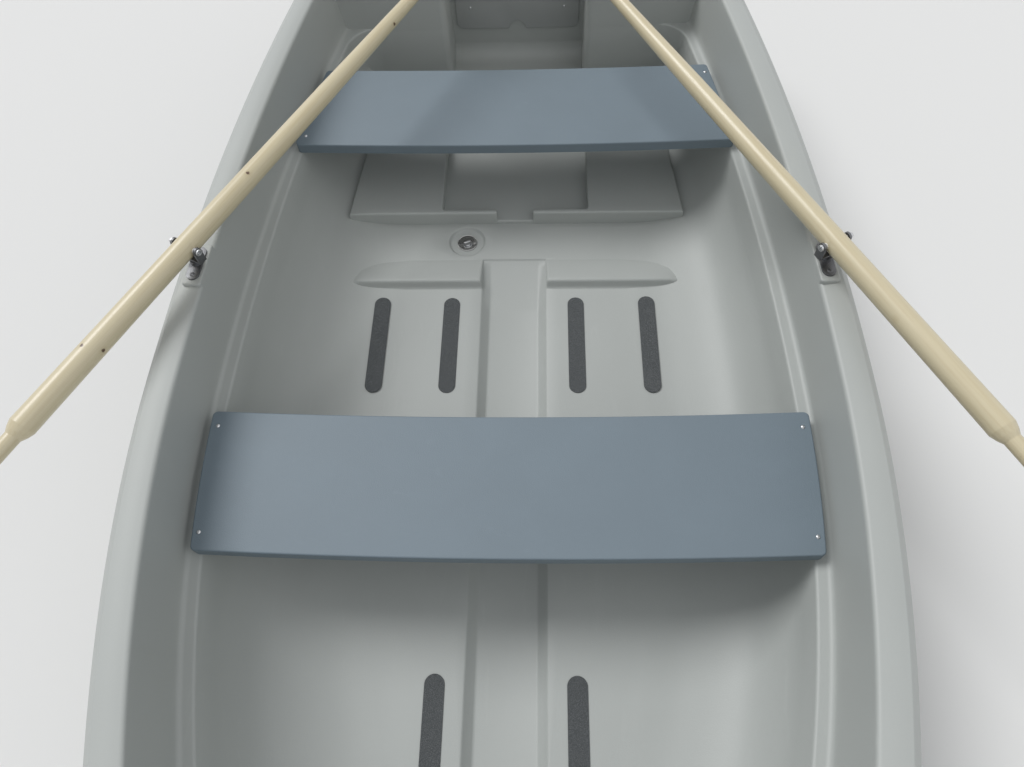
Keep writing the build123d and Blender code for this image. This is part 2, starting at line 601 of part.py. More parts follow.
lock_place = Pos(LOCK.X, LOCK.Y, LOCK.Z)
stowed_angle = math.degrees(math.asin((LOCK.X - TIP_INSET) / BLADE_END))
stowed = lock_place * Rot(0, 0, stowed_angle)
loom, blade = make_oar()
save_pair("oarlock_base", *both(lock_place * Rot(0, 0, BASE_ANGLE) * make_base()))
save_pair("oarlock_fork", *both(stowed * make_fork()))
save_pair("oarlock_bolt", *both(stowed * make_bolt()))
save_pair("oar_loom", *both(stowed * loom))
save_pair("oar_blade", *both(stowed * blade))
save_pair("oar_bush", *both(stowed * make_bush()))
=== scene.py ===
import bisect
import logging
import math
from dataclasses import dataclass, replace
from enum import Enum
from typing import Callable, Iterable, Sequence

import bmesh
import bpy
from mathutils import Matrix, Vector


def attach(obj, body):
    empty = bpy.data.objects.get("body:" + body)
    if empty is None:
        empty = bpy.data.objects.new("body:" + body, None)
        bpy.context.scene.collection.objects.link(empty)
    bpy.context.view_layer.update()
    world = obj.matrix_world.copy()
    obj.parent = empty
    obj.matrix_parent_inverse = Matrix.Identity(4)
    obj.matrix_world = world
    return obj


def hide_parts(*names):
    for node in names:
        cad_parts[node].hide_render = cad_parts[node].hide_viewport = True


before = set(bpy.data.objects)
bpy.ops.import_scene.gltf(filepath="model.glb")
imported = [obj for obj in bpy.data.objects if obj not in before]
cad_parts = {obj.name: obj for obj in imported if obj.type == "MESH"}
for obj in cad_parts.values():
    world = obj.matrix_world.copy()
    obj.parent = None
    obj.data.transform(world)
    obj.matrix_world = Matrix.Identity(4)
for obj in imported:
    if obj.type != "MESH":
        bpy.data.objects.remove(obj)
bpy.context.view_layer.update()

# Looks of an open rowing boat with pinned oars. Metres, +Y aft, +X to port, and
# z = 0 at the waterline.
log = logging.getLogger("rowing_boat")
Colour = tuple[float, float, float]
Point = tuple[float, float, float]
Spot = tuple[float, float]
SIDES = {"port": 1.0, "starboard": -1.0}

# Driving dimensions
HALF_BEAM = 0.752
HALF_STERN = 0.565
Y_BOW = -1.925
Z_RIM = 0.470
CAP_DEPTH = 0.040
DRAUGHT = 0.080
TRANSOM_TOP = (1.900, 0.430)
RAKE = math.radians(4.0)
DRAIN = (-0.145, 1.016)
LOCK = (0.712, 0.608)
LOCK_TURN = math.radians(3.0)
Z_OAR = 0.540
OAR_TURN = math.radians(27.0)

# The hull's fore arc has this share of the radius that would meet the nose without a straight
FORE_RUN = 0.81
# Points closer than TINY are one, and edges sharper than CRISP are drawn sharp
TINY = 1e-6
CRISP = math.radians(36.0)


def both_sides(*stems: str) -> tuple[str, ...]:
    """Node names of port and starboard pairs."""
    return tuple(f"{stem}_{side}" for stem in stems for side in SIDES)


class Body(Enum):
    """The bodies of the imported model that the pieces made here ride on."""

    BOAT = "boat"
    FORK_PORT = "fork_port"
    FORK_STARBOARD = "fork_starboard"
    OAR_PORT = "oar_port"
    OAR_STARBOARD = "oar_starboard"


# Shader maths


class Value:
    """A number socket of a material, whose arithmetic adds Math nodes."""

    def __init__(self, shader: "Shader", socket: bpy.types.NodeSocket) -> None:
        """Wrap one output socket of a shader."""
        self.shader = shader
        self.socket = socket

    def _math(self, operation: str, *terms: "Value | float") -> "Value":
        """Add one Math node over the terms."""
        return self.shader.add("ShaderNodeMath", {"operation": operation}, dict(enumerate(terms)))

    def __add__(self, other: "Value | float") -> "Value":
        """self + other."""
        return self._math("ADD", self, other)

    __radd__ = __add__

    def __sub__(self, other: "Value | float") -> "Value":
        """self - other."""
        return self._math("SUBTRACT", self, other)

    def __rsub__(self, other: float) -> "Value":
        """other - self."""
        return self._math("SUBTRACT", other, self)

    def __mul__(self, other: "Value | float") -> "Value":
        """self * other."""
        return self._math("MULTIPLY", self, other)

    __rmul__ = __mul__

    def rise(self, low: float, high: float) -> "Value":
        """Smooth step from 0 at low to 1 at high."""
        inputs = {"Value": self, "From Min": low, "From Max": high}
        return self.shader.add("ShaderNodeMapRange", {"interpolation_type": "SMOOTHSTEP"}, inputs)


class Shader:
    """A material under construction: one Principled BSDF and what feeds it."""

    def __init__(self, name: str) -> None:
        """Start an empty material with its BSDF and output.

        Args:
            name: The material's name.
        """
        self.material = bpy.data.materials.new(name)
        self.material.use_nodes = True
        self.tree = self.material.node_tree
        self.bsdf = self.tree.nodes["Principled BSDF"]

    def add(self, kind: str, settings: dict, inputs: dict, output: int | str = 0) -> Value:
        """Add a node of any type.

        Args:
            kind: The node's type.
            settings: Its attributes, set before its sockets.
            inputs: Numbers, colours or wrapped sockets by input name or index.
            output: The output socket that is wrapped.

        Returns:
            The wrapped output socket.
        """
        node = self.tree.nodes.new(kind)
        for key, value in settings.items():
            setattr(node, key, value)
        for key, value in inputs.items():
            if isinstance(value, Value):
                self.tree.links.new(value.socket, node.inputs[key])
            else:
                node.inputs[key].default_value = value
        return Value(self, node.outputs[output])

    def here(self) -> Value:
        """Object coordinates."""
        return self.add("ShaderNodeTexCoord", {}, {}, "Object")

    def place(self, location: Point = (0, 0, 0), turn: Point = (0, 0, 0), scale: Point = (1, 1, 1)) -> Value:
        """Object coordinates seen from a turned, moved and scaled frame."""
        inputs = {"Vector": self.here(), "Location": location, "Rotation": turn, "Scale": scale}
        return self.add("ShaderNodeMapping", {"vector_type": "TEXTURE"}, inputs)

    def noise(self, vector: Value, scale: float, detail: float = 2.0, distortion: float = 0.0) -> Value:
        """Noise between 0 and 1, with scale as its grains in a metre."""
        inputs = {"Vector": vector, "Scale": scale, "Detail": detail, "Distortion": distortion}
        return self.add("ShaderNodeTexNoise", {}, inputs, "Fac")

    def cells(self, vector: Value, scale: float) -> Value:
        """Distance to the nearest of the random points in space."""
        return self.add("ShaderNodeTexVoronoi", {}, {"Vector": vector, "Scale": scale}, "Distance")

    def mix(self, factor: Value | float, first: Value | Colour, second: Value | Colour) -> Value:
        """Blend of two colours.

        Args:
            factor: Share of the second colour.
            first: Colour where the factor is 0.
            second: Colour where the factor is 1.

        Returns:
            The blend.
        """
        tint = [c if isinstance(c, Value) else (*c, 1.0) for c in (first, second)]
        inputs = {"Factor": factor, 6: tint[0], 7: tint[1]}
        return self.add("ShaderNodeMix", {"data_type": "RGBA"}, inputs, 2)

    def clouded(self, cloud: Value, colour: Colour, spread: float) -> Value:
        """A colour that drifts to a little darker and a little lighter."""
        return self.mix(cloud.rise(0.3, 0.7), toned(colour, 1 - spread), toned(colour, 1 + spread))

    def feed(self, **inputs: Value | float | Colour) -> None:
        """Set or link the BSDF's sockets, named with underscores for spaces.

        Args:
            inputs: Values, colours or wrapped sockets by the socket's name.
        """
        for key, value in inputs.items():
            socket = self.bsdf.inputs[key.replace("_", " ").title().replace("Ior", "IOR")]
            if isinstance(value, Value):
                self.tree.links.new(value.socket, socket)
            else:
                socket.default_value = (*value, 1.0) if isinstance(value, tuple) else value

    def relief(self, height: Value, depth: float) -> None:
        """Feed the BSDF's normal with a bump."""
        inputs = {"Height": height, "Distance": depth, "Strength": 1.0}
        self.feed(normal=self.add("ShaderNodeBump", {}, inputs))


# Finishes


def toned(colour: Colour, factor: float) -> Colour:
    """A colour made darker or lighter, up to white."""
    return tuple(min(1.0, c * factor) for c in colour)


@dataclass(frozen=True)
class Moulding:
    """Rotationally moulded plastic: satin, faintly mottled, with a fine orange peel."""

    name: str
    colour: Colour
    roughness: float = 0.42
    mottle: float = 0.02
    cloud_grain: float = 2.6
    fleck_grain: float = 900.0
    fleck_colour: Colour = (0.16, 0.16, 0.16)
    fleck_share: float = 0.10
    scuff_grain: float = 38.0
    scuff_share: float = 0.10
    peel_grain: float = 260.0
    peel_depth: float = 0.00024

    def material(self) -> bpy.types.Material:
        """Build the material.

        Returns:
            The material.
        """
        s = Shader(self.name)
        here = s.here()
        cloud = s.noise(here, self.cloud_grain, 4.0, 0.4)
        flecks = s.noise(here, self.fleck_grain, 1.0)
        scuffs = s.noise(s.place(scale=(1.0, 7.0, 1.0)), self.scuff_grain, 6.0, 1.2).rise(0.60, 0.78)
        colour = s.clouded(cloud, self.colour, self.mottle)
        colour = s.mix(flecks.rise(0.66, 0.8) * self.fleck_share, colour, self.fleck_colour)
        colour = s.mix(scuffs * self.scuff_share, colour, toned(self.colour, 1.35))
        roughness = self.roughness + cloud * 0.10 + scuffs * 0.12
        s.feed(base_color=colour, roughness=roughness, specular_ior_level=0.45)
        s.relief(s.noise(here, self.peel_grain, 3.0) + flecks * 0.25, self.peel_depth)
        return s.material


@dataclass(frozen=True)
class Board:
    """Grained plastic board with a fine leather-like emboss."""

    name: str
    colour: Colour
    mottle: float = 0.025
    cloud_grain: float = 5.0
    emboss_grain: float = 620.0
    emboss_depth: float = 0.00025
    pore_grain: float = 1400.0
    pore_share: float = 0.16
    rub_grain: float = 60.0
    rub_share: float = 0.05

    def material(self) -> bpy.types.Material:
        """Build the material.

        Returns:
            The material.
        """
        s = Shader(self.name)
        here = s.here()
        cloud = s.noise(here, self.cloud_grain, 5.0, 0.6)
        pores = s.noise(here, self.pore_grain, 1.0)
        rubbed = s.noise(s.place(scale=(3.0, 1.0, 1.0)), self.rub_grain, 6.0, 0.8).rise(0.62, 0.8)
        colour = s.clouded(cloud, self.colour, self.mottle)
        colour = s.mix(pores.rise(0.55, 0.75) * self.pore_share, colour, toned(self.colour, 1.5))
        colour = s.mix(rubbed * self.rub_share, colour, toned(self.colour, 1.7))
        roughness = 0.47 + cloud * 0.05 - rubbed * 0.04
        s.feed(base_color=colour, roughness=roughness, specular_ior_level=0.5)
        s.relief(s.cells(here, self.emboss_grain) + pores * 0.4, self.emboss_depth)
        return s.material


@dataclass(frozen=True)
class Grit:
    """Anti-slip strip: coarse mineral grit in a dark film."""

    name: str
    colour: Colour
    grit_grain: float = 700.0
    grit_depth: float = 0.0009
    dust_grain: float = 14.0
    dust_colour: Colour = (0.26, 0.27, 0.27)
    dust_share: float = 0.06
    sparkle_grain: float = 620.0
    sparkle_colour: Colour = (0.30, 0.31, 0.32)
    sparkle_share: float = 0.35

    def material(self) -> bpy.types.Material:
        """Build the material.

        Returns:
            The material.
        """
        s = Shader(self.name)
        here = s.here()
        grains = s.cells(here, self.grit_grain)
        dust = s.noise(here, self.dust_grain, 5.0, 0.5)
        sparkle = s.noise(here, self.sparkle_grain, 1.0).rise(0.54, 0.70)
        colour = s.mix(grains.rise(0.1, 0.5), toned(self.colour, 1.4), toned(self.colour, 0.55))
        colour = s.mix(sparkle * self.sparkle_share, colour, self.sparkle_colour)
        colour = s.mix(dust.rise(0.45, 0.8) * self.dust_share, colour, self.dust_colour)
        s.feed(base_color=colour, roughness=0.85 - sparkle * 0.3, specular_ior_level=0.4)
        s.relief(1 - grains, self.grit_depth)
        return s.material


@dataclass(frozen=True)
class Pine:
    """Oiled pale pine, its fine straight grain along a direction in plan, with small knots."""

    name: str
    turn: float
    origin: Point
    pale: Colour = (0.62, 0.545, 0.365)
    late: Colour = (0.53, 0.435, 0.255)
    warm: Colour = (0.67, 0.60, 0.43)
    knot: Colour = (0.09, 0.045, 0.02)
    knots: tuple[Point, ...] = ()
    knot_radii: tuple[float, float, float, float] = (0.0025, 0.0055, 0.005, 0.014)
    coat: float = 0.45
    lathe: float = 0.0
    lathe_grain: float = 68.0
    band_grain: float = 170.0
    fibre_grain: float = 620.0
    tone_grain: float = 5.0
    depth: float = 0.00006

    def _along(self, s: Shader, stretch: float) -> Value:
        """Coordinates along the grain, stretched along it."""
        return s.place(self.origin, (0, 0, self.turn), (1.0, stretch, 1.0))

    def material(self) -> bpy.types.Material:
        """Build the material.

        Returns:
            The material.
        """
        s = Shader(self.name)
        bands = s.noise(self._along(s, 30.0), self.band_grain, 2.0, 0.2)
        fibre = s.noise(self._along(s, 60.0), self.fibre_grain, 2.0)
        tone = s.noise(self._along(s, 4.0), self.tone_grain, 2.0)
        colour = s.mix(bands.rise(0.42, 0.70) * 0.45, self.pale, self.late)
        colour = s.mix(fibre.rise(0.5, 0.8) * 0.30, colour, self.late)
        colour = s.mix(tone.rise(0.35, 0.75) * 0.30, colour, self.warm)
        wave = {"Vector": self._along(s, 1.0), "Scale": self.lathe_grain, "Distortion": 0.3, "Detail": 1.0}
        marks = s.add("ShaderNodeTexWave", {"wave_type": "BANDS", "bands_direction": "Y"}, wave, "Fac")
        height = fibre * 0.5 + marks * self.lathe
        for spot in self.knots:
            core, ring = self._knot(s, spot)
            colour = s.mix(ring * 0.35, colour, self.late)
            colour = s.mix(core, colour, self.knot)
            height = height - core * 0.6
        roughness = 0.36 + fibre * 0.14
        s.feed(base_color=colour, roughness=roughness, coat_weight=self.coat, coat_roughness=0.22)
        s.relief(height, self.depth)
        return s.material

    def _knot(self, s: Shader, spot: Point) -> tuple[Value, Value]:
        """Masks of one knot.

        Args:
            s: The material that the masks are added to.
            spot: The knot's centre on the loom, in metres.

        Returns:
            The dark core and the ring of late wood round it, each from 0 to 1.
        """
        here = s.here()
        gap = s.add("ShaderNodeVectorMath", {"operation": "DISTANCE"}, {0: here, 1: spot}, "Value")
        gap = gap + (s.noise(here, 240.0, 1.0) - 0.5) * 0.004
        core, core_edge, ring, ring_edge = self.knot_radii
        return 1 - gap.rise(core, core_edge), 1 - gap.rise(ring, ring_edge)


@dataclass(frozen=True)
class Steel:
    """Cast and polished stainless steel, a little worn."""

    name: str
    colour: Colour = (0.56, 0.565, 0.57)
    roughness: float = 0.24
    smear_grain: float = 90.0
    scratch_grain: float = 700.0
    depth: float = 0.00004

    def material(self) -> bpy.types.Material:
        """Build the material.

        Returns:
            The material.
        """
        s = Shader(self.name)
        smear = s.noise(s.here(), self.smear_grain, 5.0, 0.5)
        scratch = s.noise(s.place(scale=(9.0, 1.0, 1.0)), self.scratch_grain, 2.0)
        colour = s.mix(smear.rise(0.4, 0.75) * 0.5, self.colour, toned(self.colour, 0.72))
        roughness = self.roughness + smear * 0.16 + scratch * 0.06
        s.feed(base_color=colour, metallic=1.0, roughness=roughness)
        s.relief(scratch + smear * 2.0, self.depth)
        return s.material


@dataclass(frozen=True)
class Nylon:
    """Smooth off-white moulded fitting."""

    name: str
    colour: Colour
    stain_grain: float = 45.0
    skin_grain: float = 600.0
    depth: float = 0.00006

    def material(self) -> bpy.types.Material:
        """Build the material.

        Returns:
            The material.
        """
        s = Shader(self.name)
        here = s.here()
        stain = s.noise(here, self.stain_grain, 4.0)
        colour = s.mix(stain.rise(0.4, 0.8) * 0.25, self.colour, toned(self.colour, 0.7))
        s.feed(base_color=colour, roughness=0.40 + stain * 0.15)
        s.relief(s.noise(here, self.skin_grain, 1.0), self.depth)
        return s.material


# Meshes


def linked(name: str, mesh: bpy.types.Mesh) -> bpy.types.Object:
    """Put a mesh into the scene as an object at the origin.

    Args:
        name: The object's name.
        mesh: Its mesh.

    Returns:
        The object.
    """
    piece = bpy.data.objects.new(name, mesh)
    bpy.context.scene.collection.objects.link(piece)
    return piece


def set_down(name: str, bm: bmesh.types.BMesh) -> bpy.types.Object:
    """Put an edited mesh into the scene as an object at the origin, and free it.

    Args:
        name: The object's name.
        bm: The edited mesh, which is used up.

    Returns:
        The object.
    """
    mesh = bpy.data.meshes.new(name)
    bm.to_mesh(mesh)
    bm.free()
    return linked(name, mesh)


def skin(rows: Sequence[Sequence[Point]], closed: bool = True, looped: bool = False,
         ends: tuple[bool, bool] = (False, False)) -> tuple[list[Point], list[tuple[int, ...]]]:
    """Corner points and faces of a surface through rows of points.

    Args:
        rows: Rows with one number of points.
        closed: Whether each row's last point joins its first.
        looped: Whether the last row joins the first.
        ends: Whether the first and the last row are each filled with one face.

    Returns:
        The corner points and the faces.
    """
    count, width = len(rows), len(rows[0])
    verts = [p for row in rows for p in row]
    faces: list[tuple[int, ...]] = []
    for r in range(count if looped else count - 1):
        a, b = r * width, (r + 1) % count * width
        spans = range(width if closed else width - 1)
        faces += [(a + i, a + (i + 1) % width, b + (i + 1) % width, b + i) for i in spans]
    fills = (tuple(range(width)), tuple(range(len(verts) - width, len(verts))))
    return verts, faces + [fill for fill, wanted in zip(fills, ends) if wanted]


def make_piece(name: str, verts: Sequence[Point], faces: Sequence[Sequence[int]]) -> bpy.types.Object:
    """Make an object from points and faces, its normals outwards and its doubles merged.

    Args:
        name: The piece's name.
        verts: Corner points in metres.
        faces: Corner indices of each face.

    Returns:
        The new object at the origin, in the scene.
    """
    mesh = bpy.data.meshes.new(name)
    mesh.from_pydata(verts, [], faces)
    bm = bmesh.new()
    bm.from_mesh(mesh)
    bmesh.ops.remove_doubles(bm, verts=bm.verts, dist=TINY)
    bmesh.ops.recalc_face_normals(bm, faces=bm.faces)
    bm.to_mesh(mesh)
    bm.free()
    mesh.shade_smooth()
    return linked(name, mesh)


def settle(piece: bpy.types.Object) -> None:
    """Turn a piece with live modifiers into the plain mesh that they give.

    Args:
        piece: The object whose modifiers are evaluated and removed.
    """
    graph = bpy.context.evaluated_depsgraph_get()
    mesh = bpy.data.meshes.new_from_object(piece.evaluated_get(graph), depsgraph=graph)
    piece.modifiers.clear()
    piece.data = mesh


def join(name: str, pieces: Iterable[bpy.types.Object]) -> bpy.types.Object:
    """Join pieces into one, in their present places.

    Args:
        name: The joined piece's name.
        pieces: The objects, which are used up.

    Returns:
        The joined object.
    """
    bm = bmesh.new()
    for piece in pieces:
        bm.from_mesh(piece.data)
        bpy.data.objects.remove(piece)
    return set_down(name, bm)


def dress(piece: bpy.types.Object, finish: bpy.types.Material, slot: str, body: Body, *nodes: str) -> None:
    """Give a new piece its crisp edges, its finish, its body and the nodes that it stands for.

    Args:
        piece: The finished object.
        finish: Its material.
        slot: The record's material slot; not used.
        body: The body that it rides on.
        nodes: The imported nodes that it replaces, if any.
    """
    piece.data.set_sharp_from_angle(angle=CRISP)
    piece.data.materials.clear()
    piece.data.materials.append(finish)
    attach(piece, body.value)
    if nodes:
        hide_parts(*nodes)
    log.info("%s: %d faces", piece.name, len(piece.data.polygons))


def round_edges(bm: bmesh.types.BMesh, edges: Sequence[bmesh.types.BMEdge], soft: float, steps: int) -> None:
    """Round some edges of an edited mesh to a radius, in a number of faces."""
    bmesh.ops.bevel(bm, geom=edges, offset=soft, segments=steps, profile=0.5, affect="EDGES",
                    clamp_overlap=True)


def extruded(name: str, outline: Sequence[Spot], low: float, high: float, soft: float,
             steps: int = 4) -> bpy.types.Object:
    """Upright moulded block on a plan outline, its top edge rounded.

    Args:
        name: The block's name.
        outline: Corners in plan, in order.
        low: Height of its underside.
        high: Height of its top.
        soft: Radius of the top edge.
        steps: Faces round the edge.

    Returns:
        The block.
    """
    bm = bmesh.new()
    base = bm.faces.new([bm.verts.new((x, y, low)) for x, y in outline])
    top = bmesh.ops.extrude_face_region(bm, geom=[base])
    lifted = [g for g in top["geom"] if isinstance(g, bmesh.types.BMVert)]
    bmesh.ops.translate(bm, verts=lifted, vec=(0, 0, high - low))
    round_edges(bm, [e for e in bm.edges if all(abs(v.co.z - high) < TINY for v in e.verts)], soft, steps)
    bmesh.ops.recalc_face_normals(bm, faces=bm.faces)
    block = set_down(name, bm)
    block.data.shade_smooth()
    return block


def evenly(first: float, last: float, steps: int) -> list[float]:
    """Values at even steps, both ends among them."""
    return [first + (last - first) * k / steps for k in range(steps + 1)]


def quarter(steps: int) -> list[Spot]:
    """Sine and cosine at even steps of a quarter turn, both ends among them."""
    return [(math.sin(math.pi / 2 * k / steps), math.cos(math.pi / 2 * k / steps)) for k in range(steps + 1)]


def on_side(side: float, outline: Iterable[Spot]) -> list[Spot]:
    """An outline drawn for the port side, on one side."""
    return [(side * x, y) for x, y in outline]


def rounded(corners: Sequence[Point], steps: int = 6) -> list[Spot]:
    """Plan outline with arcs in place of its corners.

    Args:
        corners: Each corner's x, y and radius, in order.
        steps: Points along a quarter turn.

    Returns:
        The outline's points.
    """
    points: list[Spot] = []
    count = len(corners)
    for i, (x, y, radius) in enumerate(corners):
        if radius <= 0:
            points.append((x, y))
            continue
        here = Vector((x, y))
        before = (Vector(corners[i - 1][:2]) - here).normalized()
        after = (Vector(corners[(i + 1) % count][:2]) - here).normalized()
        half_turn = before.angle(after) / 2
        reach = radius / math.tan(half_turn)
        centre = here + (before + after).normalized() * (radius / math.sin(half_turn))
        start, end = here + before * reach - centre, here + after * reach - centre
        first = math.atan2(start.y, start.x)
        sweep = (math.atan2(end.y, end.x) - first + math.pi) % math.tau - math.pi
        for k in range(steps + 1):
            turn = first + sweep * k / steps
            points.append((centre.x + radius * math.cos(turn), centre.y + radius * math.sin(turn)))
    return points


def slab(centre: Spot, halves: Spot, radius: float, turn: float, steps: int = 6) -> list[Spot]:
    """Plan of a rectangle with round corners.

    Args:
        centre: Its middle.
        halves: Half its size along x and y before it is turned.
        radius: Radius of its corners.
        turn: How far it is turned.
        steps: Points along a quarter turn.

    Returns:
        The outline's points.
    """
    corners = [(x * halves[0], y * halves[1], radius) for x, y in ((-1, -1), (1, -1), (1, 1), (-1, 1))]
    (mid_x, mid_y), cos, sin = centre, math.cos(turn), math.sin(turn)
    return [(mid_x + x * cos - y * sin, mid_y + x * sin + y * cos) for x, y in rounded(corners, steps)]


def turned(name: str, section: Sequence[Spot], centre: Point, steps: int = 56,
           hollow: bool = False) -> bpy.types.Object:
    """Form turned about an upright axis.

    Args:
        name: The form's name.
        section: Radius and height of each point, from the underside up.
        centre: Where the axis stands.
        steps: Faces round the axis.
        hollow: Whether the last point joins the first, as in a ring.

    Returns:
        The form.
    """
    x, y, z = centre
    turns = [math.tau * k / steps for k in range(steps)]
    rows = [[(x + r * math.cos(turn), y + r * math.sin(turn), z + up) for turn in turns] for r, up in section]
    return make_piece(name, *skin(rows, looped=hollow))


def carve(piece: bpy.types.Object, cutter: bpy.types.Object) -> None:
    """Cut one closed form out of another, and delete the cutter.

    Args:
        piece: The form that is cut.
        cutter: The form that is cut away.
    """
    cut = piece.modifiers.new("carve", "BOOLEAN")
    cut.operation, cut.solver, cut.object = "DIFFERENCE", "EXACT", cutter
    settle(piece)
    bpy.data.objects.remove(cutter)
    piece.data.shade_smooth()


# Lines of the hull


@dataclass(frozen=True)
class Sampling:
    """How many points stand along each stretch of half a plan outline."""

    stern: int = 8
    corner: int = 6
    aft: int = 44
    fore: int = 40
    straight: int = 14
    nose: int = 26

    @property
    def total(self) -> int:
        """Points from the middle of the stern to the tip of the bow."""
        return self.stern + self.corner + self.aft + self.fore + self.straight + self.nose + 1


SAMPLING = Sampling()


@dataclass(frozen=True)
class Plan:
    """Plan outline at one height: stern line, arc to the greatest beam, arc, straight and nose."""

    z: float
    half: float
    half_aft: float
    y_aft: float
    y_fore: float
    nose: float
    run: float = 0.92
    corner: float = 0.03
    y_cut: float | None = None
    y_beam: float = 0.300

    def grown(self, grow: float, rise: float = 0.0) -> "Plan":
        """The outline set outwards by grow, and raised.

        Args:
            grow: How far outwards.
            rise: How far up.

        Returns:
            The new outline.
        """
        return replace(self, z=self.z + rise, half=self.half + grow, half_aft=self.half_aft + grow,
                       y_aft=self.y_aft + grow, y_fore=self.y_fore - grow, nose=self.nose + grow,
                       corner=max(0.002, self.corner + grow))

    def aft_radius(self) -> float:
        """Radius of the arc from the greatest beam to the stern."""
        length = self.y_aft - self.y_beam
        return (length ** 2 + (self.half - self.half_aft) ** 2) / (2 * (self.half - self.half_aft))

    def half_at(self, y: float) -> float:
        """Half width at a station aft of the greatest beam."""
        radius = self.aft_radius()
        return self.half - radius + math.sqrt(max(0.0, radius ** 2 - (y - self.y_beam) ** 2))

    def point(self, index: int) -> tuple[float, float]:
        """One sampled point of the port half.

        Args:
            index: Its place from the middle of the stern (0) to the tip of the bow.

        Returns:
            Its x and y.
        """
        n = SAMPLING
        radius = self.aft_radius()
        stern = self.y_aft if self.y_cut is None else self.y_cut
        middle = self.half - radius
        y_corner = stern - self.corner
        x_corner = middle + math.sqrt((radius - self.corner) ** 2 - (y_corner - self.y_beam) ** 2)
        lean = math.atan2(y_corner - self.y_beam, x_corner - middle)
        if index <= n.stern:
            return x_corner * index / n.stern, stern
        index -= n.stern
        if index <= n.corner:
            turn = math.pi / 2 + (lean - math.pi / 2) * index / n.corner
            return x_corner + self.corner * math.cos(turn), y_corner + self.corner * math.sin(turn)
        index -= n.corner
        if index <= n.aft:
            turn = lean * (1 - index / n.aft)
            return middle + radius * math.cos(turn), self.y_beam + radius * math.sin(turn)
        index -= n.aft
        lead = self.y_beam - self.y_fore - self.nose
        r_fore = self.run * (self.half ** 2 + lead ** 2 - self.nose ** 2) / (2 * (self.half - self.nose))
        centre = self.half - r_fore
        leave = math.atan2(lead, -centre) - math.acos((r_fore - self.nose) / math.hypot(centre, lead))
        if index <= n.fore:
            turn = leave * index / n.fore
            return centre + r_fore * math.cos(turn), self.y_beam - r_fore * math.sin(turn)
        index -= n.fore
        here = (centre + r_fore * math.cos(leave), self.y_beam - r_fore * math.sin(leave))
        y_nose = self.y_fore + self.nose
        if index <= n.straight:
            there = (self.nose * math.cos(leave), y_nose - self.nose * math.sin(leave))
            share = index / n.straight
            return here[0] + (there[0] - here[0]) * share, here[1] + (there[1] - here[1]) * share
        turn = leave + (math.pi / 2 - leave) * (index - n.straight) / n.nose
        return self.nose * math.cos(turn), y_nose - self.nose * math.sin(turn)


FIELDS = ("z", "half", "half_aft", "y_aft", "y_fore", "nose")


@dataclass(frozen=True)
class Form:
    """A surface through plan outlines, lowest first."""

    rows: tuple[Plan, ...]

    def at(self, z: float) -> Plan:
        """The straight-sided surface's outline at a height.

        Args:
            z: The height.

        Returns:
            The outline, between the two rows round that height.
        """
        heights = [row.z for row in self.rows]
        i = min(max(bisect.bisect(heights, z) - 1, 0), len(self.rows) - 2)
        low, high = self.rows[i], self.rows[i + 1]
        share = (z - low.z) / (high.z - low.z)
        mixed = {f: getattr(low, f) * (1 - share) + getattr(high, f) * share for f in FIELDS}
        return replace(low, **mixed)

    def smooth(self, steps: int) -> list[Plan]:
        """Outlines of a smooth surface through the rows.

        Args:
            steps: Outlines from one row to the next.

        Returns:
            The outlines, lowest first, the first and last row among them.
        """
        rows = self.rows
        knots = [0.0]
        for a, b in zip(rows, rows[1:]):
            knots.append(knots[-1] + math.hypot(b.half - a.half, b.z - a.z) ** 0.5)
        made = []
        for i in range(len(rows) - 1):
            for k in range(steps):
                t = knots[i] + (knots[i + 1] - knots[i]) * k / steps
                made.append(replace(rows[i], **{f: self._spline(f, knots, i, t) for f in FIELDS}))
        return made + [rows[-1]]

    def _spline(self, name: str, knots: list[float], i: int, t: float) -> float:
        """Cubic through the rows' values of one field.

        Args:
            name: The field.
            knots: Each row's place along the curve.
            i: The row below t.
            t: A place along the curve.

        Returns:
            The field's value there.
        """
        values = [getattr(row, name) for row in self.rows]
        span = knots[i + 1] - knots[i]

        def slope(k: int) -> float:
            """Slope of the cubic at one row."""
            a, b = max(k - 1, 0), min(k + 1, len(values) - 1)
            return (values[b] - values[a]) / (knots[b] - knots[a])

        u = (t - knots[i]) / span
        here = (2 * u ** 3 - 3 * u ** 2 + 1) * values[i] + (u ** 3 - 2 * u ** 2 + u) * span * slope(i)
        return here + (-2 * u ** 3 + 3 * u ** 2) * values[i + 1] + (u ** 3 - u ** 2) * span * slope(i + 1)


def sheer(y: float, start: float = -0.300, radius: float = 12.0) -> float:
    """How much higher the gunwale stands at y than aft."""
    return 0.0 if y > start else radius - math.sqrt(radius ** 2 - (start - y) ** 2)


Ring = list[Point]


def ring(plan_at: Callable[[float], Plan], height: Callable[[float], float]) -> Ring:
    """Closed ring of points on a surface.

    Args:
        plan_at: The surface's outline at a height.
        height: The ring's height at a station along the boat.

    Returns:
        Points from the middle of the stern round the port side, the bow and back.
    """
    port = []
    for index in range(SAMPLING.total):
        z = height(0.0)
        for _ in range(4):
            x, y = plan_at(z).point(index)
            z = height(y)
        port.append((x, y, z))
    return port + [(-x, y, z) for x, y, z in reversed(port[1:-1])]


def level_ring(plan: Plan, lift: float = 0.0) -> Ring:
    """Ring on one outline, raised by a share of the sheer."""
    return ring(lambda z: plan, lambda y: plan.z + lift * sheer(y))


def climbing_ring(plan_at: Callable[[float], Plan], low: float, top: float, share: float) -> Ring:
    """Ring at a share of the way from a level line up to one that follows the sheer."""
    return ring(plan_at, lambda y: low + (top + sheer(y) - low) * share)


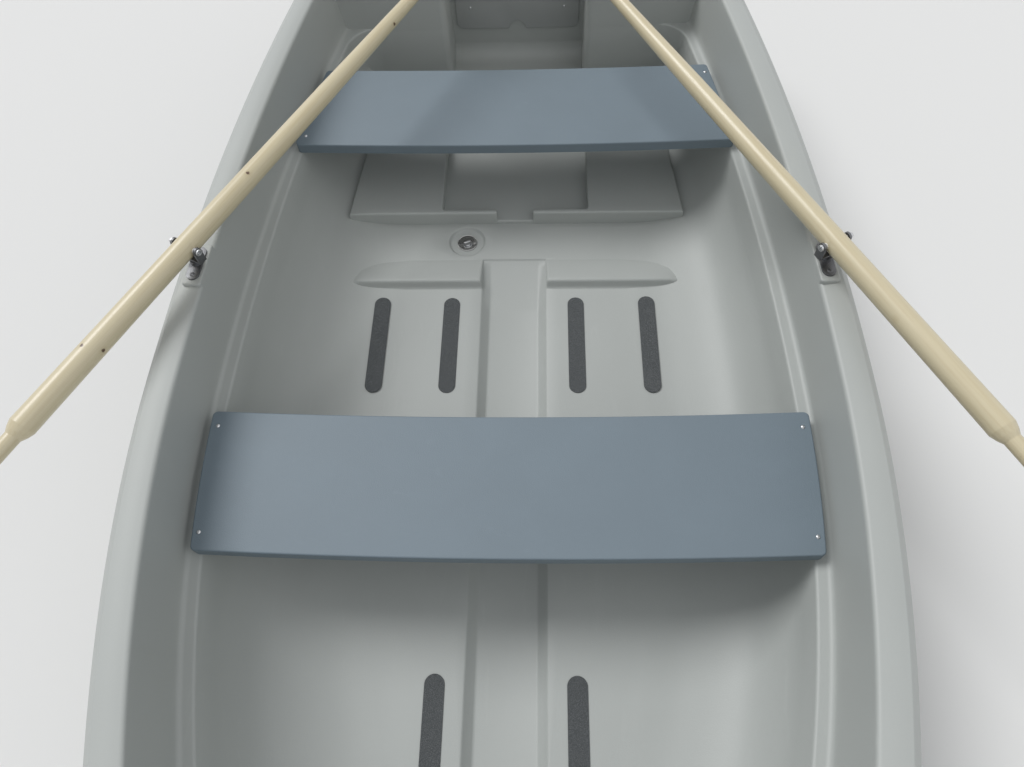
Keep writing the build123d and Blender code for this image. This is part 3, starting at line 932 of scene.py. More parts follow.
def foam_rings(grow: float, z_top: float) -> list[Ring]:
    """Rings up the hidden face between the skin and the pan.

    Args:
        grow: How far outside the pan's back the face lies.
        z_top: The height at which it ends, before the sheer.

    Returns:
        The rings, lowest first.
    """
    # height above the keel, half beam, half width at the stern, fore end, nose
    table = ((0.080, 0.430, 0.330, -1.150, 0.060), (0.150, 0.595, 0.448, -1.370, 0.110),
             (0.240, 0.662, 0.498, -1.510, 0.150), (0.350, 0.706, 0.531, -1.560, 0.190),
             (0.560, 0.714, 0.545, -1.620, 0.210), (0.760, 0.718, 0.549, -1.630, 0.220))
    stern = 1.862
    rows = [Plan(z - DRAUGHT, half, half_aft, stern, y_fore, nose).grown(grow)
            for z, half, half_aft, y_fore, nose in table]
    low, high = Form(tuple(rows[:3])), Form(tuple(rows[2:]))
    rings = [level_ring(plan) for plan in low.smooth(4)]
    return rings + [climbing_ring(high.at, rows[2].z, z_top, k / 4) for k in range(1, 5)]


# Sub-assemblies


@dataclass
class HullSkin:
    """Outer skin with its rounded bilge, raked transom and shallow keel."""

    finish: bpy.types.Material
    half: float = HALF_BEAM
    half_stern: float = HALF_STERN
    y_stern: float = 1.955
    transom_top: Spot = TRANSOM_TOP
    rake: float = RAKE
    corner: float = 0.012
    glue_line: float = 0.0005
    lip: float = 0.012
    keel_half: float = 0.016
    keel_top: float = -0.020
    y_keel: float = -0.900
    keel_rise: float = 0.240

    def forms(self) -> tuple[Form, Form]:
        """The rounded bilge and the topsides above it.

        Returns:
            The two surfaces, which share one row.
        """
        half, stern, lip, aft = self.half, self.half_stern, self.lip, self.y_stern
        # height above the keel, share of the beam, share at the stern, y from the bow, nose
        table = ((0.022, 0.040, 0.046, 0.745, 0.024), (0.052, 0.532, 0.560, 0.495, 0.050),
                 (0.082, 0.725, 0.750, 0.365, 0.062), (0.130, 0.851, 0.865, 0.245, 0.076),
                 (0.220, 0.920, 0.935, 0.158, 0.096), (0.350, 0.960, 0.968, 0.079, 0.118))
        rows = [Plan(z - DRAUGHT, half * a, stern * b, aft, Y_BOW + y, nose, FORE_RUN)
                for z, a, b, y, nose in table]
        rows += [Plan(Z_RIM + 0.010, half - lip, stern - lip, aft, Y_BOW + 0.017, 0.138, FORE_RUN),
                 Plan(Z_RIM + 0.210, half, stern, aft, Y_BOW - 0.035, 0.150, FORE_RUN)]
        return Form(tuple(rows[:5])), Form(tuple(rows[4:]))

    def transom(self, z: float) -> float:
        """Where the raked transom's face lies at a height."""
        y_top, z_top = self.transom_top
        return y_top - (z_top - z) * math.tan(self.rake)

    def cut(self, plan: Plan) -> Plan:
        """The outline ended at the transom."""
        return replace(plan, y_cut=self.transom(plan.z), corner=self.corner)

    def build(self) -> None:
        """Make the skin and the keel as one piece."""
        bilge, topsides = self.forms()
        rings = [level_ring(self.cut(plan)) for plan in bilge.smooth(7)]
        low, top = bilge.rows[-1].z, self.transom_top[1]
        for k in range(1, 13):
            rings.append(climbing_ring(lambda z: self.cut(topsides.at(z)), low, top, k / 12))
        rings += reversed(foam_rings(self.glue_line, top))
        hull = make_piece("hull_skin", *skin(rings, ends=(True, True)))
        dress(join("hull_skin", [hull, self._keel()]), self.finish, "hull", Body.BOAT, "hull_shell")

    def _keel(self) -> bpy.types.Object:
        """Fin along the bottom, rising into the stem.

        Returns:
            The fin, with flat faces.
        """
        aft = self.transom(-DRAUGHT) - 0.001
        side = ((self.y_keel, -DRAUGHT), (aft, -DRAUGHT), (aft, self.keel_top),
                (self.y_keel - self.keel_rise, self.keel_top))
        rows = [[(x, y, z) for y, z in side] for x in (-self.keel_half, self.keel_half)]
        keel = make_piece("keel", *skin(rows, ends=(True, True)))
        keel.data.shade_flat()
        return keel


@dataclass
class Pan:
    """The moulded inner pan: gunwale, walls, ledge, floor, platform and quarter blocks."""

    finish: bpy.types.Material
    half: float = HALF_BEAM
    half_stern: float = HALF_STERN
    y_stern: float = 1.915
    z_rim: float = Z_RIM
    cap_depth: float = CAP_DEPTH
    flare: float = 0.020
    edge_round: float = 0.005
    inner_round: float = 0.009
    crown: float = 0.002
    rim_width: float = 0.055
    y_inner_bow: float = -1.600
    y_inner_stern: float = 1.848
    z_ledge: float = 0.280
    ledge: float = 0.034
    ledge_round: float = 0.007
    ledge_cove: float = 0.012
    z_sole: float = 0.048
    sole_half: float = 0.335
    gutter_top: float = 0.0935
    gutter_low: float = 0.0725
    gutter_depth: float = 0.030
    gutter_fore: float = -0.820
    gutter_aft: float = 0.945
    drain: Spot = DRAIN
    drain_radius: float = 0.055
    drain_depth: float = 0.009
    platform_foot: float = 0.040
    platform_fore: float = 1.083
    platform_top: float = 0.098
    platform_round: float = 0.0065
    well_half: float = 0.220
    well_lip: float = 0.016
    well_foot: float = 0.010
    well_floor: float = 0.060
    well_round: float = 0.006
    well_cove: float = 0.055
    notch_half: float = 0.054
    block_fore: float = 1.695
    block_top: float = 0.425
    block_corner: float = 0.022
    block_round: float = 0.014
    quarter_cove: float = 0.090
    rest_foot: float = 0.843
    rest_height: float = 0.022
    rest_half: float = 0.520
    rest_fade: float = 0.070
    lock: Spot = LOCK
    pad_half: Spot = (0.022, 0.058)
    pad_height: float = 0.008
    pad_corner: float = 0.007
    pad_round: float = 0.004
    pad_turn: float = LOCK_TURN
    sunk: float = 0.008

    @property
    def wall_half(self) -> float:
        """Half width between the walls at the ledge, at the greatest beam."""
        return self.half - self.rim_width - 0.001

    def side(self) -> Form:
        """The rounded side from the sole's edge up to the ledge.

        Returns:
            The surface, lowest row first.
        """
        sole, wall, stern, bow = self.sole_half, self.wall_half, self.half_stern, self.y_inner_bow
        aft = self.y_inner_stern
        return Form((
            Plan(self.z_sole, sole, 0.75 * sole, aft, bow + 0.600, 0.050),
            Plan(self.z_sole + 0.008, sole + 0.120, 0.75 * sole + 0.090, aft, bow + 0.440, 0.070),
            Plan(self.z_sole + 0.047, wall - 0.118, stern - 0.135, aft, bow + 0.290, 0.100),
            Plan(self.z_sole + 0.127, wall - 0.056, stern - 0.093, aft, bow + 0.180, 0.130),
            Plan(self.z_ledge, wall - self.ledge, stern - 0.082, aft, bow + 0.110, 0.150),
        ))

    def wall(self) -> Form:
        """The wall from the ledge up to the gunwale, and on past it.

        Returns:
            The surface, lowest row first.
        """
        aft, bow = self.y_inner_stern, self.y_inner_bow
        top = Plan(self.z_rim, self.half - self.rim_width, self.half_stern - 0.033, aft, bow, 0.200)
        foot = Plan(self.z_ledge, self.wall_half, self.half_stern - 0.054, aft, bow + 0.070, 0.180)
        return Form((foot, top, replace(top, z=self.z_rim + 0.5)))

    def _skirt(self) -> list[Spot]:
        """Section of the cap's outer face.

        Returns:
            How far out and how far up each point lies from the top edge, lowest first.
        """
        out, low, soft = self.flare, self.cap_depth, self.edge_round
        points = [(out - 0.002, -low), (out, 0.002 - low), (out, -out - 0.003), (out - 0.0006, -out - 0.0006),
                  (out - 0.0025, 0.0025 - out), (out / 2, -out / 2)]
        reach = math.tan(math.pi / 8)
        for turn in evenly(math.pi / 4, math.pi / 2, 4):
            points.append((soft * (math.cos(turn) - reach), soft * (math.sin(turn) - 1)))
        return points

    def rim(self) -> Plan:
        """Outline of the cap's top edge."""
        return Plan(self.z_rim, self.half, self.half_stern, self.y_stern, Y_BOW, 0.150, FORE_RUN, 0.045)

    def _gunwale(self) -> list[Ring]:
        """Rings over the cap, from its outer lower edge to the top of the wall.

        Returns:
            The rings, from the outside in.
        """
        rim, inner = self.rim(), replace(self.wall().at(self.z_rim), corner=0.05)
        rings = [level_ring(rim.grown(out, rise - self.crown), 1.0) for out, rise in self._skirt()]
        # across the crown, from the outer to the inner outline
        outer_top, inner_top = rings[-1], level_ring(inner.grown(self.inner_round, -self.crown), 1.0)
        for share in evenly(0.0, 1.0, 8)[1:-1]:
            swell = (0.0, 0.0, self.crown * 4 * share * (1 - share))
            rings.append([tuple(a * (1 - share) + b * share + up for a, b, up in zip(p, q, swell))
                          for p, q in zip(outer_top, inner_top)])
        for sin, cos in quarter(5):
            drop = -self.crown - self.inner_round * (1 - cos)
            rings.append(level_ring(inner.grown(self.inner_round * (1 - sin), drop), 1.0))
        return rings

    def _inside(self) -> list[Ring]:
        """Rings down the wall, over the ledge and down to the edge of the sole.

        Returns:
            The rings, from the top down.
        """
        wall, side, cove, soft = self.wall(), self.side(), self.ledge_cove, self.ledge_round
        top, low = self.z_rim - self.crown - 2 * self.inner_round, self.z_ledge + cove
        rings = [climbing_ring(wall.at, low, top, 1 - k / 8) for k in range(9)]
        foot, lip = wall.rows[0], side.rows[-1]
        rings += [level_ring(foot.grown(cove * (cos - 1), cove * (1 - sin))) for sin, cos in quarter(4)[1:]]
        rings += [level_ring(lip.grown(soft * (1 - sin), soft * (cos - 1))) for sin, cos in quarter(4)]
        return rings + [level_ring(plan) for plan in reversed(side.smooth(8)[:-3])]

    def _sole(self, edge: Ring) -> list[list[Point]]:
        """Rows of points across the floor, inside the ring at the sole's edge.

        Args:
            edge: The ring at the sole's edge.

        Returns:
            The rows, from the stern to the bow.
        """
        half = (0.0, 0.2, 0.4, 0.6, 0.8, 0.93, 1.0)
        shares = [-share for share in reversed(half[1:])] + list(half)
        return [[(x * share, y, z) for share in shares] for x, y, z in edge[:SAMPLING.total]]

    def _channel(self) -> bpy.types.Object:
        """Cutter of the gutter: a tray with soft edges and a ramp at its aft end, and a lid above it.

        Returns:
            The cutter.
        """
        low, top, over = self.gutter_low, self.gutter_top, -0.035
        # half width or y, and the share of the depth there, which is above the floor where it is negative
        section = ((low - 0.006, 1.0), (low - 0.002, 0.96), (low + 0.001, 0.88), (top - 0.0025, 0.14),
                   (top - 0.0005, 0.055), (top + 0.002, 0.012), (top + 0.006, over))
        across = [(-x, d) for x, d in reversed(section)] + [(0.0, 1.0), *section]
        fore, aft = self.gutter_fore, self.gutter_aft
        along = ((fore, over), (fore + 0.010, 0.05), (fore + 0.050, 0.93), (fore + 0.060, 1.0),
                 (aft - 0.170, 1.0), (aft - 0.150, 0.97), (aft - 0.020, 0.22), (aft - 0.003, 0.17),
                 (aft, 0.13), (aft + 0.002, 0.04), (aft + 0.005, over))
        edge, lid = across[-1][0], self.z_sole + 0.030
        rows = []
        for y, deep in along:
            tray = [(x, y, self.z_sole - self.gutter_depth * min(d, deep)) for x, d in across]
            rows.append([*tray, (edge, y, lid), (-edge, y, lid)])
        return make_piece("channel", *skin(rows, ends=(True, True)))

    def _recess(self) -> bpy.types.Object:
        """Cutter of the drain's round recess, with the socket's hole in the middle of its floor.

        Returns:
            The cutter.
        """
        r, deep, hole, lid = self.drain_radius, self.drain_depth, 0.016, 0.020
        section = [(0.0, -deep - hole), (0.0275, -deep - hole), (0.0280, -deep - 0.0010), (0.0290, -deep),
                   (r - 0.009, -deep), (r - 0.0055, -deep + 0.0008), (r - 0.0035, -deep + 0.0030),
                   (r - 0.0012, -0.0028), (r, -0.0010), (r + 0.0020, 0.0002), (r + 0.0050, 0.0014),
                   (r + 0.0050, lid), (0.0, lid)]
        return turned("recess", section, (*self.drain, self.z_sole), 72)

    def build(self) -> None:
        """Make the pan, cut its gutter and drain recess, add the raised forms and dress it."""
        rings = foam_rings(0.0, self.z_rim - self.cap_depth) + self._gunwale() + self._inside()
        verts, faces = skin(rings, ends=(True, False))
        more, quads = skin(self._sole(rings[-1]), closed=False)
        base = len(verts)
        shell = make_piece("pan", verts + more, faces + [tuple(base + i for i in f) for f in quads])
        carve(shell, self._channel())
        carve(shell, self._recess())
        raised = [*self._platform(), *self._quarters(), *self._heel_rests(), *self._rowlock_pads()]
        dress(join("pan", [shell, *raised]), self.finish, "hull", Body.BOAT, "liner")

    def _rowlock_pads(self) -> list[bpy.types.Object]:
        """Raised pads that carry the rowlocks, turned to follow the gunwale.

        Returns:
            The two pads.
        """
        plan = slab(self.lock, self.pad_half, self.pad_corner, self.pad_turn, 10)
        low, high = self.z_rim - 0.009, self.z_rim + self.pad_height
        return [extruded("pad", on_side(side, plan), low, high, self.pad_round) for side in SIDES.values()]

    def _edge(self, y: float, z: float) -> float:
        """Half width a little behind the visible side, for forms that sink into it."""
        form = self.side() if z < self.z_ledge else self.wall()
        return form.at(z).half_at(y) + self.sunk

    def _platform(self) -> list[bpy.types.Object]:
        """Raised stern floor round its well.

        Returns:
            The two halves of the raised floor, and the well.
        """
        end, fore = self.y_inner_stern + 0.006, self.platform_fore
        lip, foot, top = fore + self.well_lip, self.platform_foot, self.platform_top
        outer = [(self._edge(y, 0.080), y, 0.0) for y in evenly(fore, end, 10)]
        inner = [(self.well_half, end, 0.0), (self.well_half, lip, 0.009), (self.notch_half, lip, 0.006),
                 (self.notch_half, fore, 0.006)]
        plan = rounded([*outer, *inner])
        made = [extruded("platform", on_side(side, plan), foot, top, self.platform_round, 5)
                for side in SIDES.values()]
        return [*made, self._well()]

    def _well(self) -> bpy.types.Object:
        """Floor of the well, with a soft front edge, turning up into the transom on an arc.

        Returns:
            The well.
        """
        floor, bend, soft = self.well_floor, self.well_cove, self.well_round
        fore, aft, half = self.platform_fore + 0.0015, self.y_inner_stern + 0.0005, self.well_half + 0.010
        front = [(fore + soft * (1 - cos), floor - soft * (1 - sin)) for sin, cos in quarter(5)]
        rise = [(aft - bend + bend * sin, floor + bend * (1 - cos)) for sin, cos in quarter(12)]
        section = [(fore, self.well_foot), *front, *rise, (aft, self.well_foot)]
        rows = [[(x, y, z) for y, z in section] for x in (-half, half)]
        return make_piece("well", *skin(rows, ends=(True, True)))

    def _hollow(self) -> list[Spot]:
        """Plan of the hollow corner from the ledge's edge to a quarter block's face.

        Returns:
            The plan, of the port side.
        """
        edge = self.side().rows[-1]
        radius, bend = edge.aft_radius(), self.quarter_cove
        middle, y = edge.half - radius, self.block_fore - bend
        x = middle + math.sqrt((radius - bend) ** 2 - (y - edge.y_beam) ** 2)
        first = math.atan2(y - edge.y_beam, x - middle)
        turns = evenly(first, math.pi / 2, 16)
        arc = [(x + bend * math.cos(turn), y + bend * math.sin(turn)) for turn in turns]
        past, beyond = self.block_fore + 0.020, arc[0][0] + 0.024
        return [*arc, (x, past), (edge.half_at(past) + 0.012, past), (beyond, arc[0][1])]

    def _quarters(self) -> list[bpy.types.Object]:
        """Blocks in the after corners, each with a hollow corner up to the ledge before it.

        Returns:
            The blocks and the corners of both sides.
        """
        end, foot, hair = self.y_inner_stern + 0.006, self.platform_top - 0.010, 0.0003
        fore, ledge = self.block_fore, self.z_ledge
        ys = evenly(fore + hair, end + hair, 6)
        # below the ledge the wall stands further in, so each block is made in two heights,
        # the lower a hair behind the upper one's face
        heights = ((foot, ledge - 0.0005, hair, 0.0002),
                   (ledge - 0.010, self.block_top, 0.0, self.block_round))
        made = []
        for side in SIDES.values():
            for low, high, back, soft in heights:
                outer = [(self._edge(y, high), y, 0.0) for y in ys]
                inner = self.well_half + back
                plan = rounded([*outer, (inner, end, 0.0), (inner, fore + back, self.block_corner)])
                made.append(extruded("quarter", on_side(side, plan), low, high, soft, 5))
            made.append(extruded("corner", on_side(side, self._hollow()), foot, ledge - 0.0002, 0.006))
        return made

    def _heel_rests(self) -> list[bpy.types.Object]:
        """Ridge across the floor on each side of the gutter, its outer end sunk into the side.

        Returns:
            The two ridges.
        """
        high, foot, tail = self.rest_height, self.rest_foot, self.gutter_aft
        # y from the foot, share of the height
        front = ((-0.007, -0.10), (-0.003, 0.02), (0.0005, 0.12), (0.0025, 0.28), (0.0075, 0.68),
                 (0.0095, 0.84), (0.0120, 0.95), (0.0150, 1.0), (0.0190, 0.985))
        profile = [(foot + y, high * h) for y, h in front]
        start, top = profile[-1]
        profile += [(start + (tail - start) * k / 4, top * (1 - k / 4)) for k in range(1, 5)]
        profile.append((tail + 0.01, -0.1 * high))
        # gap from the gutter, share of the way up from 0.3 of the height
        lead = ((0.0008, 0.0), (0.0015, 0.45), (0.003, 0.75), (0.006, 0.93), (0.010, 1.0))
        stations = [(self.gutter_top + gap, 0.3 + 0.7 * share) for gap, share in lead]
        begin = self.rest_half - self.rest_fade
        stations += [(x, 1.0) for x in evenly(stations[-1][0], begin, 6)[1:]]
        stations += [(begin + self.rest_fade * k / 6, 1 - k / 6) for k in range(1, 7)]
        made = []
        for side in SIDES.values():
            rows = [[(side * x, y, self.z_sole + (h * share if h > 0 else h)) for y, h in profile]
                    for x, share in stations]
            made.append(make_piece("heel_rest", *skin(rows, ends=(True, True))))
        return made


@dataclass
class Strake:
    """Rubbing strake under the cap, all the way round, with a softly rounded face."""

    finish: bpy.types.Material
    rim: Plan
    drop: float = CAP_DEPTH + 0.0003
    depth: float = 0.0157
    face: float = 0.015
    sunk: float = 0.020
    soft: float = 0.004

    def build(self) -> None:
        """Sweep the section round the rim's outline and dress it."""
        top, low, soft = -self.drop, -self.drop - self.depth, self.soft
        under = [(self.face - soft * (1 - sin), low + soft - soft * cos) for sin, cos in quarter(5)]
        over = [(self.face - soft * (1 - cos), top - soft / 2 + soft / 2 * sin) for sin, cos in quarter(5)]
        section = [(-self.sunk, top), (-self.sunk, low), *under, *over]
        rings = [level_ring(self.rim.grown(out, rise), 1.0) for out, rise in section]
        nodes = (*both_sides("rub_rail"), "rub_rail_stern")
        dress(make_piece("strake", *skin(rings, looped=True)), self.finish, "rail", Body.BOAT, *nodes)


@dataclass
class CarriedNodes:
    """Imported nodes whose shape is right, which only get a finish."""

    finish: bpy.types.Material
    names: tuple[str, ...]

    def build(self) -> None:
        """Assign the finish to each node."""
        for name in self.names:
            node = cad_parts[name]
            node.data.materials.clear()
            node.data.materials.append(self.finish)
            log.info("%s: finish %s", name, self.finish.name)


@dataclass(frozen=True)
class Eased:
    """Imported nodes' own shapes with their hard edges rounded, in place of the nodes."""

    finish: bpy.types.Material
    slot: str
    ease: float = 0.0008
    steps: int = 3
    flat: float = math.radians(0.5)
    hard: float = math.radians(32.0)

    def build(self, node: str, name: str, body: Body) -> None:
        """Copy one node, merge its triangles into whole faces, round its edges and dress it.

        Args:
            node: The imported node.
            name: The new piece's name.
            body: The body that it rides on.
        """
        bm = bmesh.new()
        bm.from_mesh(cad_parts[node].data)
        bmesh.ops.remove_doubles(bm, verts=bm.verts, dist=TINY)
        bmesh.ops.dissolve_limit(bm, angle_limit=self.flat, verts=bm.verts, edges=bm.edges,
                                 delimit={"NORMAL"})
        edges = [e for e in bm.edges if len(e.link_faces) == 2 and e.calc_face_angle() > self.hard]
        round_edges(bm, edges, self.ease, self.steps)
        piece = set_down(name, bm)
        piece.data.shade_smooth()
        dress(piece, self.finish, self.slot, body, node)


@dataclass
class DrainSet:
    """Threaded drain socket in its recess, with a plug turned down inside it. The socket's steel is darker
    than the plug's: partly its own tone and partly painted shade in the hole.
    """

    # darker steel of the socket, partly painted shade in the drain hole
    dark: bpy.types.Material
    bright: bpy.types.Material
    centre: Spot = DRAIN
    z_seat: float = 0.039
    ridges: int = 3
    pitch: float = 0.0046
    step_down: float = 0.0012
    foot: float = -0.0120
    bar_half: Spot = (0.0105, 0.0028)
    bar_turn: float = math.radians(25.0)

    def build(self) -> None:
        """Make the socket and the plug and dress them."""
        place = (*self.centre, self.z_seat)
        ring = turned("drain_socket", self._socket(), place, 64, hollow=True)
        dress(ring, self.dark, "moulded_grey", Body.BOAT, "drain_fitting")
        plug = join("drain_plug_body", [turned("plug", self._plug(), place, 48), self._bar()])
        dress(plug, self.bright, "stainless", Body.BOAT, "drain_plug")

    def _socket(self) -> list[Spot]:
        """Section of the socket: a flange, then ridges that step down to the plug, with deep grooves.

        Returns:
            Radius and height of each point.
        """
        section = [(0.0270, self.foot), (0.0272, -0.0004), (0.0300, -0.0002), (0.0302, 0.0014),
                   (0.0297, 0.0030), (0.0286, 0.0036), (0.0276, 0.0030)]
        # inwards and up from each ridge's outer top
        ridge = ((0.0, -0.0080), (-0.0024, -0.0082), (-0.0026, -0.0008), (-0.0031, 0.0), (-0.0041, 0.0),
                 (-0.0046, -0.0010))
        radius, top = 0.0274, -0.0006
        for k in range(self.ridges):
            section += [(radius - k * self.pitch + r, top - k * self.step_down + z) for r, z in ridge]
        return section + [(radius - self.ridges * self.pitch, self.foot)]

    @staticmethod
    def _plug() -> list[Spot]:
        """Section of the plug: a dish with a rounded rim round a raised middle."""
        return [(0.0, -0.0115), (0.0134, -0.0115), (0.0134, -0.0070), (0.0128, -0.0060), (0.0116, -0.0060),
                (0.0110, -0.0072), (0.0108, -0.0100), (0.0070, -0.0100), (0.0066, -0.0060), (0.0, -0.0052)]

    def _bar(self) -> bpy.types.Object:
        """The plug's turning bar, with round ends."""
        plan = slab(self.centre, self.bar_half, self.bar_half[1] * 0.98, self.bar_turn)
        return extruded("bar", plan, self.z_seat - 0.0065, self.z_seat + 0.0085, 0.0018, 3)


@dataclass(frozen=True)
class OarBolt:
    """Bolt on which an oar tilts, with a socket head inboard and a domed nut outboard."""

    finish: bpy.types.Material
    centre: Point = (*LOCK, Z_OAR)
    turn: float = OAR_TURN
    reach: float = 0.035
    shank: float = 0.0040
    head: float = 0.0075
    dome: float = 0.0060
    thick: float = 0.0050
    socket: float = 0.0046
    socket_depth: float = 0.0042
    steps: int = 48

    def _section(self) -> list[tuple[float, float, bool]]:
        """Stations along the bolt from the socket's floor outwards.

        Returns:
            Each station's place, its radius and whether it is six-sided.
        """
        start, end, r, key = -self.reach, self.reach, self.head, self.socket
        face, nut = start - self.thick, end + self.thick
        floor = face + self.socket_depth
        points = [(floor, 0.0, True), (floor, key - 0.0002, True), (face + 0.0005, key, True),
                  (face, key + 0.0006, False), (face, r - 0.0010, False), (face + 0.0003, r - 0.0003, False),
                  (face + 0.0010, r, False), (start - 0.0003, r, False), (start, r - 0.0004, False),
                  (start, self.shank, False), (end, self.shank, False), (end, r - 0.0010, True),
                  (end + 0.0004, r - 0.0001, True), (nut - 0.0006, r - 0.0001, True), (nut, r - 0.0009, True)]
        return points + [(nut + self.dome * sin, self.dome * cos, False) for sin, cos in quarter(6)]

    def build(self, name: str, side: float, body: Body) -> None:
        """Make the bolt of one side and dress it.

        Args:
            name: The side's name.
            side: 1 to port, -1 to starboard.
            body: The body that it rides on.
        """
        cos, sin = math.cos(self.turn), math.sin(self.turn)
        x, y, z = self.centre
        rows = []
        for along, radius, six in self._section():
            row = []
            for k in range(self.steps):
                turn = math.tau * k / self.steps
                flat = math.cos(math.pi / 6) / math.cos(turn % (math.pi / 3) - math.pi / 6) if six else 1.0
                across, up = radius * flat * math.cos(turn), radius * flat * math.sin(turn)
                row.append((side * (x + along * cos - across * sin), y + along * sin + across * cos, z + up))
            rows.append(row)
        bolt = make_piece(f"oar_bolt_{name}", *skin(rows))
        dress(bolt, self.finish, "stainless", body, f"oarlock_bolt_{name}")


@dataclass(frozen=True)
class Head:
    """Where a screw head stands and which way it faces."""

    place: Point
    facing: Point


@dataclass(frozen=True)
class ScrewField:
    """Domed screw heads with a hexagon socket, stood on points by Geometry Nodes."""

    finish: bpy.types.Material
    radius: float = 0.0048
    height: float = 0.0024
    socket: float = 0.0021

    def _tree(self) -> bpy.types.GeometryNodeTree:
        """Build the tree, with the head's sizes as its inputs.

        Returns:
            The tree.
        """
        tree = bpy.data.node_groups.new("screw heads", "GeometryNodeTree")
        face = tree.interface
        face.new_socket("Points", in_out="INPUT", socket_type="NodeSocketGeometry")
        for label in ("Radius", "Height", "Socket"):
            face.new_socket(label, in_out="INPUT", socket_type="NodeSocketFloat")
        face.new_socket("Heads", in_out="OUTPUT", socket_type="NodeSocketGeometry")

        def node(kind: str, inputs: dict, **settings: str) -> bpy.types.Node:
            """Add a node, its settings first and then its values or links.

            Args:
                kind: The node's type.
                inputs: Values or linked sockets by input.
                settings: Attributes, set before the inputs.

            Returns:
                The node.
            """
            made = tree.nodes.new(kind)
            for key, value in settings.items():
                setattr(made, key, value)
            for key, value in inputs.items():
                if isinstance(value, bpy.types.NodeSocket):
                    tree.links.new(value, made.inputs[key])
                else:
                    made.inputs[key].default_value = value
            return made

        sizes = node("NodeGroupInput", {}).outputs
        ball = node("GeometryNodeMeshUVSphere", {"Segments": 20, "Rings": 10, "Radius": sizes["Radius"]})
        squeeze = node("ShaderNodeMath", {0: sizes["Height"], 1: sizes["Radius"]}, operation="DIVIDE")
        flat = node("ShaderNodeCombineXYZ", {"X": 1.0, "Y": 1.0, "Z": squeeze.outputs[0]})
        dome = node("GeometryNodeTransform", {"Geometry": ball.outputs["Mesh"], "Scale": flat.outputs[0]})
        hexagon = {"Vertices": 6, "Radius": sizes["Socket"], "Depth": sizes["Height"]}
        bore = node("GeometryNodeMeshCylinder", hexagon, fill_type="NGON")
        lift = node("ShaderNodeCombineXYZ", {"Z": sizes["Height"]})
        raised = {"Geometry": bore.outputs["Mesh"], "Translation": lift.outputs[0]}
        bite = node("GeometryNodeTransform", raised)
        both = {"Mesh 1": dome.outputs["Geometry"], "Mesh 2": bite.outputs["Geometry"]}
        head = node("GeometryNodeMeshBoolean", both, operation="DIFFERENCE")
        facing = node("GeometryNodeInputNamedAttribute", {"Name": "facing"}, data_type="FLOAT_VECTOR")
        turn = node("FunctionNodeAlignRotationToVector", {"Vector": facing.outputs["Attribute"]}, axis="Z")
        stand = {"Points": sizes["Points"], "Instance": head.outputs["Mesh"],
                 "Rotation": turn.outputs["Rotation"]}
        stood = node("GeometryNodeInstanceOnPoints", stand)
        real = node("GeometryNodeRealizeInstances", {"Geometry": stood.outputs["Instances"]})
        coat = {"Geometry": real.outputs["Geometry"], "Material": self.finish}
        paint = node("GeometryNodeSetMaterial", coat)
        node("NodeGroupOutput", {"Heads": paint.outputs["Geometry"]})
        return tree

    def build(self, name: str, heads: Sequence[Head]) -> None:
        """Stand a screw head on each place.

        Args:
            name: The piece's name.
            heads: Each head's place and facing.
        """
        mesh = bpy.data.meshes.new(name)
        mesh.from_pydata([head.place for head in heads], [], [])
        ways = mesh.attributes.new("facing", "FLOAT_VECTOR", "POINT")
        for item, head in zip(ways.data, heads):
            item.vector = head.facing
        piece = linked(name, mesh)
        tree = self._tree()
        modifier = piece.modifiers.new("screw heads", "NODES")
        modifier.node_group = tree
        wanted = {"Radius": self.radius, "Height": self.height, "Socket": self.socket}
        for item in tree.interface.items_tree:
            if item.name in wanted:
                modifier[item.identifier] = wanted[item.name]
        settle(piece)
        piece.data.shade_smooth()
        piece.data.set_sharp_from_angle(angle=CRISP)
        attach(piece, Body.BOAT.value)
        log.info("%s: %d heads, %d faces", name, len(heads), len(piece.data.polygons))


@dataclass(frozen=True)
class Fastenings:
    """Screws that show: on the thwarts, the transom plates and the rowlocks' bases."""

    finish: bpy.types.Material
    # the cast metal, whose very dark colour is partly painted dark reflection
    dark: bpy.types.Material
    thwart_top: float = 0.310
    thwart_spots: tuple[Spot, ...] = (
        (0.659, 0.276), (0.649, 0.027), (0.563, 1.430), (0.594, 1.190), (0.428, -0.788), (0.345, -0.975))
    plate_face: float = 1.840
    plate_spots: tuple[Spot, ...] = ((0.156, 0.245), (0.180, 0.376))
    lock: Spot = LOCK
    lock_turn: float = LOCK_TURN
    base_top: float = 0.482
    base_reach: float = 0.033
    base_screw: Point = (0.0058, 0.0026, 0.0032)
    rake: float = RAKE
    transom_top: Point = (0.0, *TRANSOM_TOP)
    outer_face: float = 0.008
    outer_spots: tuple[Spot, ...] = ((0.125, -0.055), (0.125, -0.225))

    def build(self) -> None:
        """Stand the screws, one piece for each size."""
        up, ahead = (0.0, 0.0, 1.0), (0.0, -1.0, 0.0)
        heads = []
        lean = Matrix.Translation(self.transom_top) @ Matrix.Rotation(-self.rake, 4, "X")
        astern = tuple(lean.to_3x3() @ Vector((0.0, 1.0, 0.0)))
        for side in SIDES.values():
            heads += [Head((side * x, y, self.thwart_top), up) for x, y in self.thwart_spots]
            heads += [Head((side * x, self.plate_face, z), ahead) for x, z in self.plate_spots]
            outer = [lean @ Vector((side * x, self.outer_face, z)) for x, z in self.outer_spots]
            heads += [Head(tuple(place), astern) for place in outer]
        ScrewField(self.finish).build("board_screws", heads)
        base = []
        for side in SIDES.values():
            for reach in (-self.base_reach, self.base_reach):
                x = self.lock[0] - reach * math.sin(self.lock_turn)
                y = self.lock[1] + reach * math.cos(self.lock_turn)
                base.append(Head((side * x, y, self.base_top), up))
        ScrewField(self.dark, *self.base_screw).build("rowlock_screws", base)


